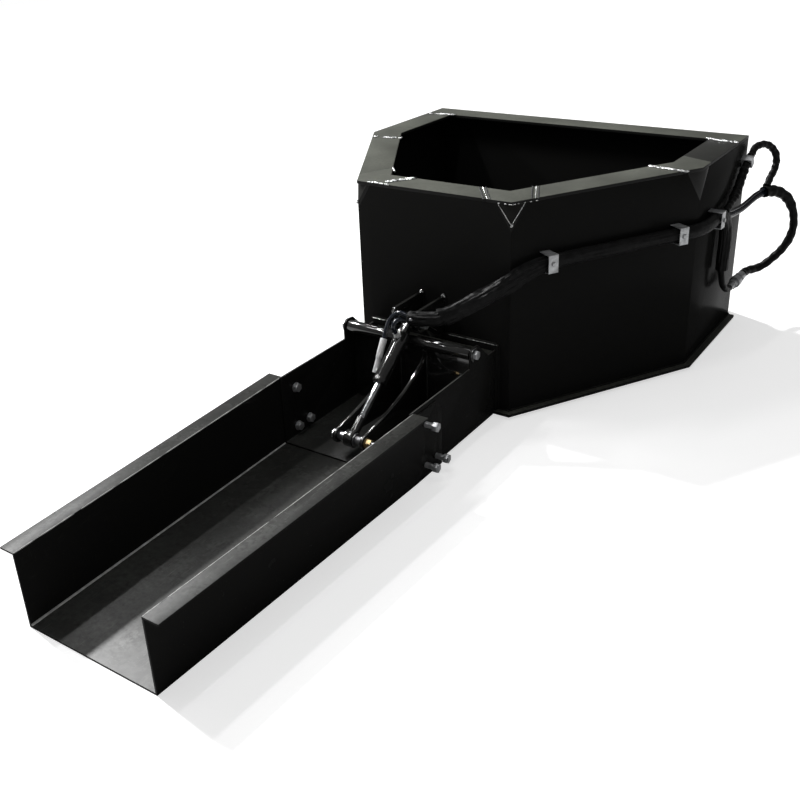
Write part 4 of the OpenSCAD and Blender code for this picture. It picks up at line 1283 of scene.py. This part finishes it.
class HOPPER_OT_set_camera(bpy.types.Operator):
    """Stand the camera where the photograph was taken from"""

    bl_idname = "hopper.set_camera"
    bl_label = "Set Camera"

    def execute(self, context):
        yaw, pitch, roll = CAMERA_YAW, CAMERA_PITCH, CAMERA_ROLL
        ahead = Vector((-math.sin(yaw) * math.cos(pitch), math.cos(yaw) * math.cos(pitch), -math.sin(pitch)))
        right = Vector((math.cos(yaw), math.sin(yaw), 0))
        up = right.cross(ahead)
        turned_right = right * math.cos(roll) + up * math.sin(roll)
        turned_up = up * math.cos(roll) - right * math.sin(roll)
        camera = bpy.data.cameras.new("photo_camera")
        camera.sensor_width = SENSOR
        camera.lens = CAMERA_FOCAL_PX * SENSOR / FRAME_PX
        camera.shift_x = (FRAME_PX / 2 - CAMERA_CENTRE_PX[0]) / FRAME_PX
        camera.shift_y = (CAMERA_CENTRE_PX[1] - FRAME_PX / 2) / FRAME_PX
        camera.clip_end = 60
        holder = placed("photo_camera", camera)
        turn = Matrix((turned_right, turned_up, -ahead)).transposed()
        holder.matrix_world = Matrix.Translation(CAMERA_PLACE) @ turn.to_4x4()
        context.scene.camera = holder
        return {"FINISHED"}


def white_surround(scene):
    """A surround that the camera sees white and that lights the hopper only a little."""
    world = bpy.data.worlds.new("pale_surround")
    scene.world = world
    world.use_nodes = True
    tree = world.node_tree
    strength = total(tree, only_seen(tree, SURROUND_SEEN), SURROUND_LIGHT)
    fill(tree, tree.nodes["Background"], {"Color": (1, 1, 1, 1), "Strength": strength})


def pale_floor():
    """A pale floor just under the hopper, which keeps its shadow and looks brighter to the camera."""
    far, z = FLOOR_HALF, GROUND - 0.3 * MM
    mesh = bpy.data.meshes.new("studio_floor")
    mesh.from_pydata([(-far, -far, z), (far, -far, z), (far, far, z), (-far, far, z)], [], [(0, 1, 2, 3)])
    material, tree, shader = blank_material("pale_floor")
    mottle = ramp(tree, noise_node(tree, 2.0, 4), 0.2, 0.8)
    fill(tree, shader, {
        "Base Color": mixed_colour(tree, mottle, (0.60, 0.60, 0.60), (0.63, 0.63, 0.63)),
        "Roughness": 0.9, "Specular IOR Level": 0.1,
        "Emission Color": (1, 1, 1, 1), "Emission Strength": only_seen(tree, FLOOR_GLOW)})
    mesh.materials.append(material)
    placed("studio_floor", mesh)


def key_sun():
    sun = bpy.data.lights.new("key_sun", "SUN")
    sun.energy = SUN_STRENGTH
    sun.angle = SUN_ANGLE
    placed("key_sun", sun).rotation_euler = Vector(SUN_WAY).to_track_quat("-Z", "Y").to_euler()


class HOPPER_OT_build_stage(bpy.types.Operator):
    """Lay a pale floor and set the lamps and a white surround"""

    bl_idname = "hopper.build_stage"
    bl_label = "Build Stage"

    def execute(self, context):
        scene = context.scene
        scene.view_settings.view_transform = "Standard"
        white_surround(scene)
        pale_floor()
        key_sun()
        soft_lamp("top_lamp", (0.4, 0.6, 4.6), (0, 0, 0.3), 3.2, 22)
        for name, (a, b, width, radiance) in TUBES.items():
            tube_lamp(name, a, b, width, LINKAGE, radiance)
        return {"FINISHED"}


class HOPPER_PT_panel(bpy.types.Panel):
    """The hopper's steps and finishes in the sidebar."""

    bl_label = "Concrete Hopper"
    bl_idname = "HOPPER_PT_panel"
    bl_space_type = "VIEW_3D"
    bl_region_type = "UI"
    bl_category = "Hopper"

    def draw(self, context):
        for operator in OPERATORS:
            self.layout.operator(operator.bl_idname)
        for group in (context.scene.hopper_finish, context.scene.hopper_sizes):
            for name in group.__annotations__:
                self.layout.prop(group, name)


OPERATORS = (HOPPER_OT_set_camera, HOPPER_OT_make_finishes, HOPPER_OT_finish_hardware, HOPPER_OT_hang_hoses,
             HOPPER_OT_draw_sleeve, HOPPER_OT_bend_jumpers, HOPPER_OT_paint_shell, HOPPER_OT_paint_rim,
             HOPPER_OT_paint_chute, HOPPER_OT_round_chute, HOPPER_OT_finish_gate, HOPPER_OT_bare_welds,
             HOPPER_OT_fillet_welds, HOPPER_OT_cut_threads, HOPPER_OT_build_stage)
CLASSES = (HopperFinish, HopperSizes, *OPERATORS, HOPPER_PT_panel)


def register():
    for cls in CLASSES:
        bpy.utils.register_class(cls)
    bpy.types.Scene.hopper_finish = bpy.props.PointerProperty(type=HopperFinish)
    bpy.types.Scene.hopper_sizes = bpy.props.PointerProperty(type=HopperSizes)


def unregister():
    del bpy.types.Scene.hopper_sizes
    del bpy.types.Scene.hopper_finish
    for cls in reversed(CLASSES):
        bpy.utils.unregister_class(cls)


def main():
    register()
    for operator in OPERATORS:
        space, name = operator.bl_idname.split(".")
        getattr(getattr(bpy.ops, space), name)()


if __name__ == "__main__":
    main()
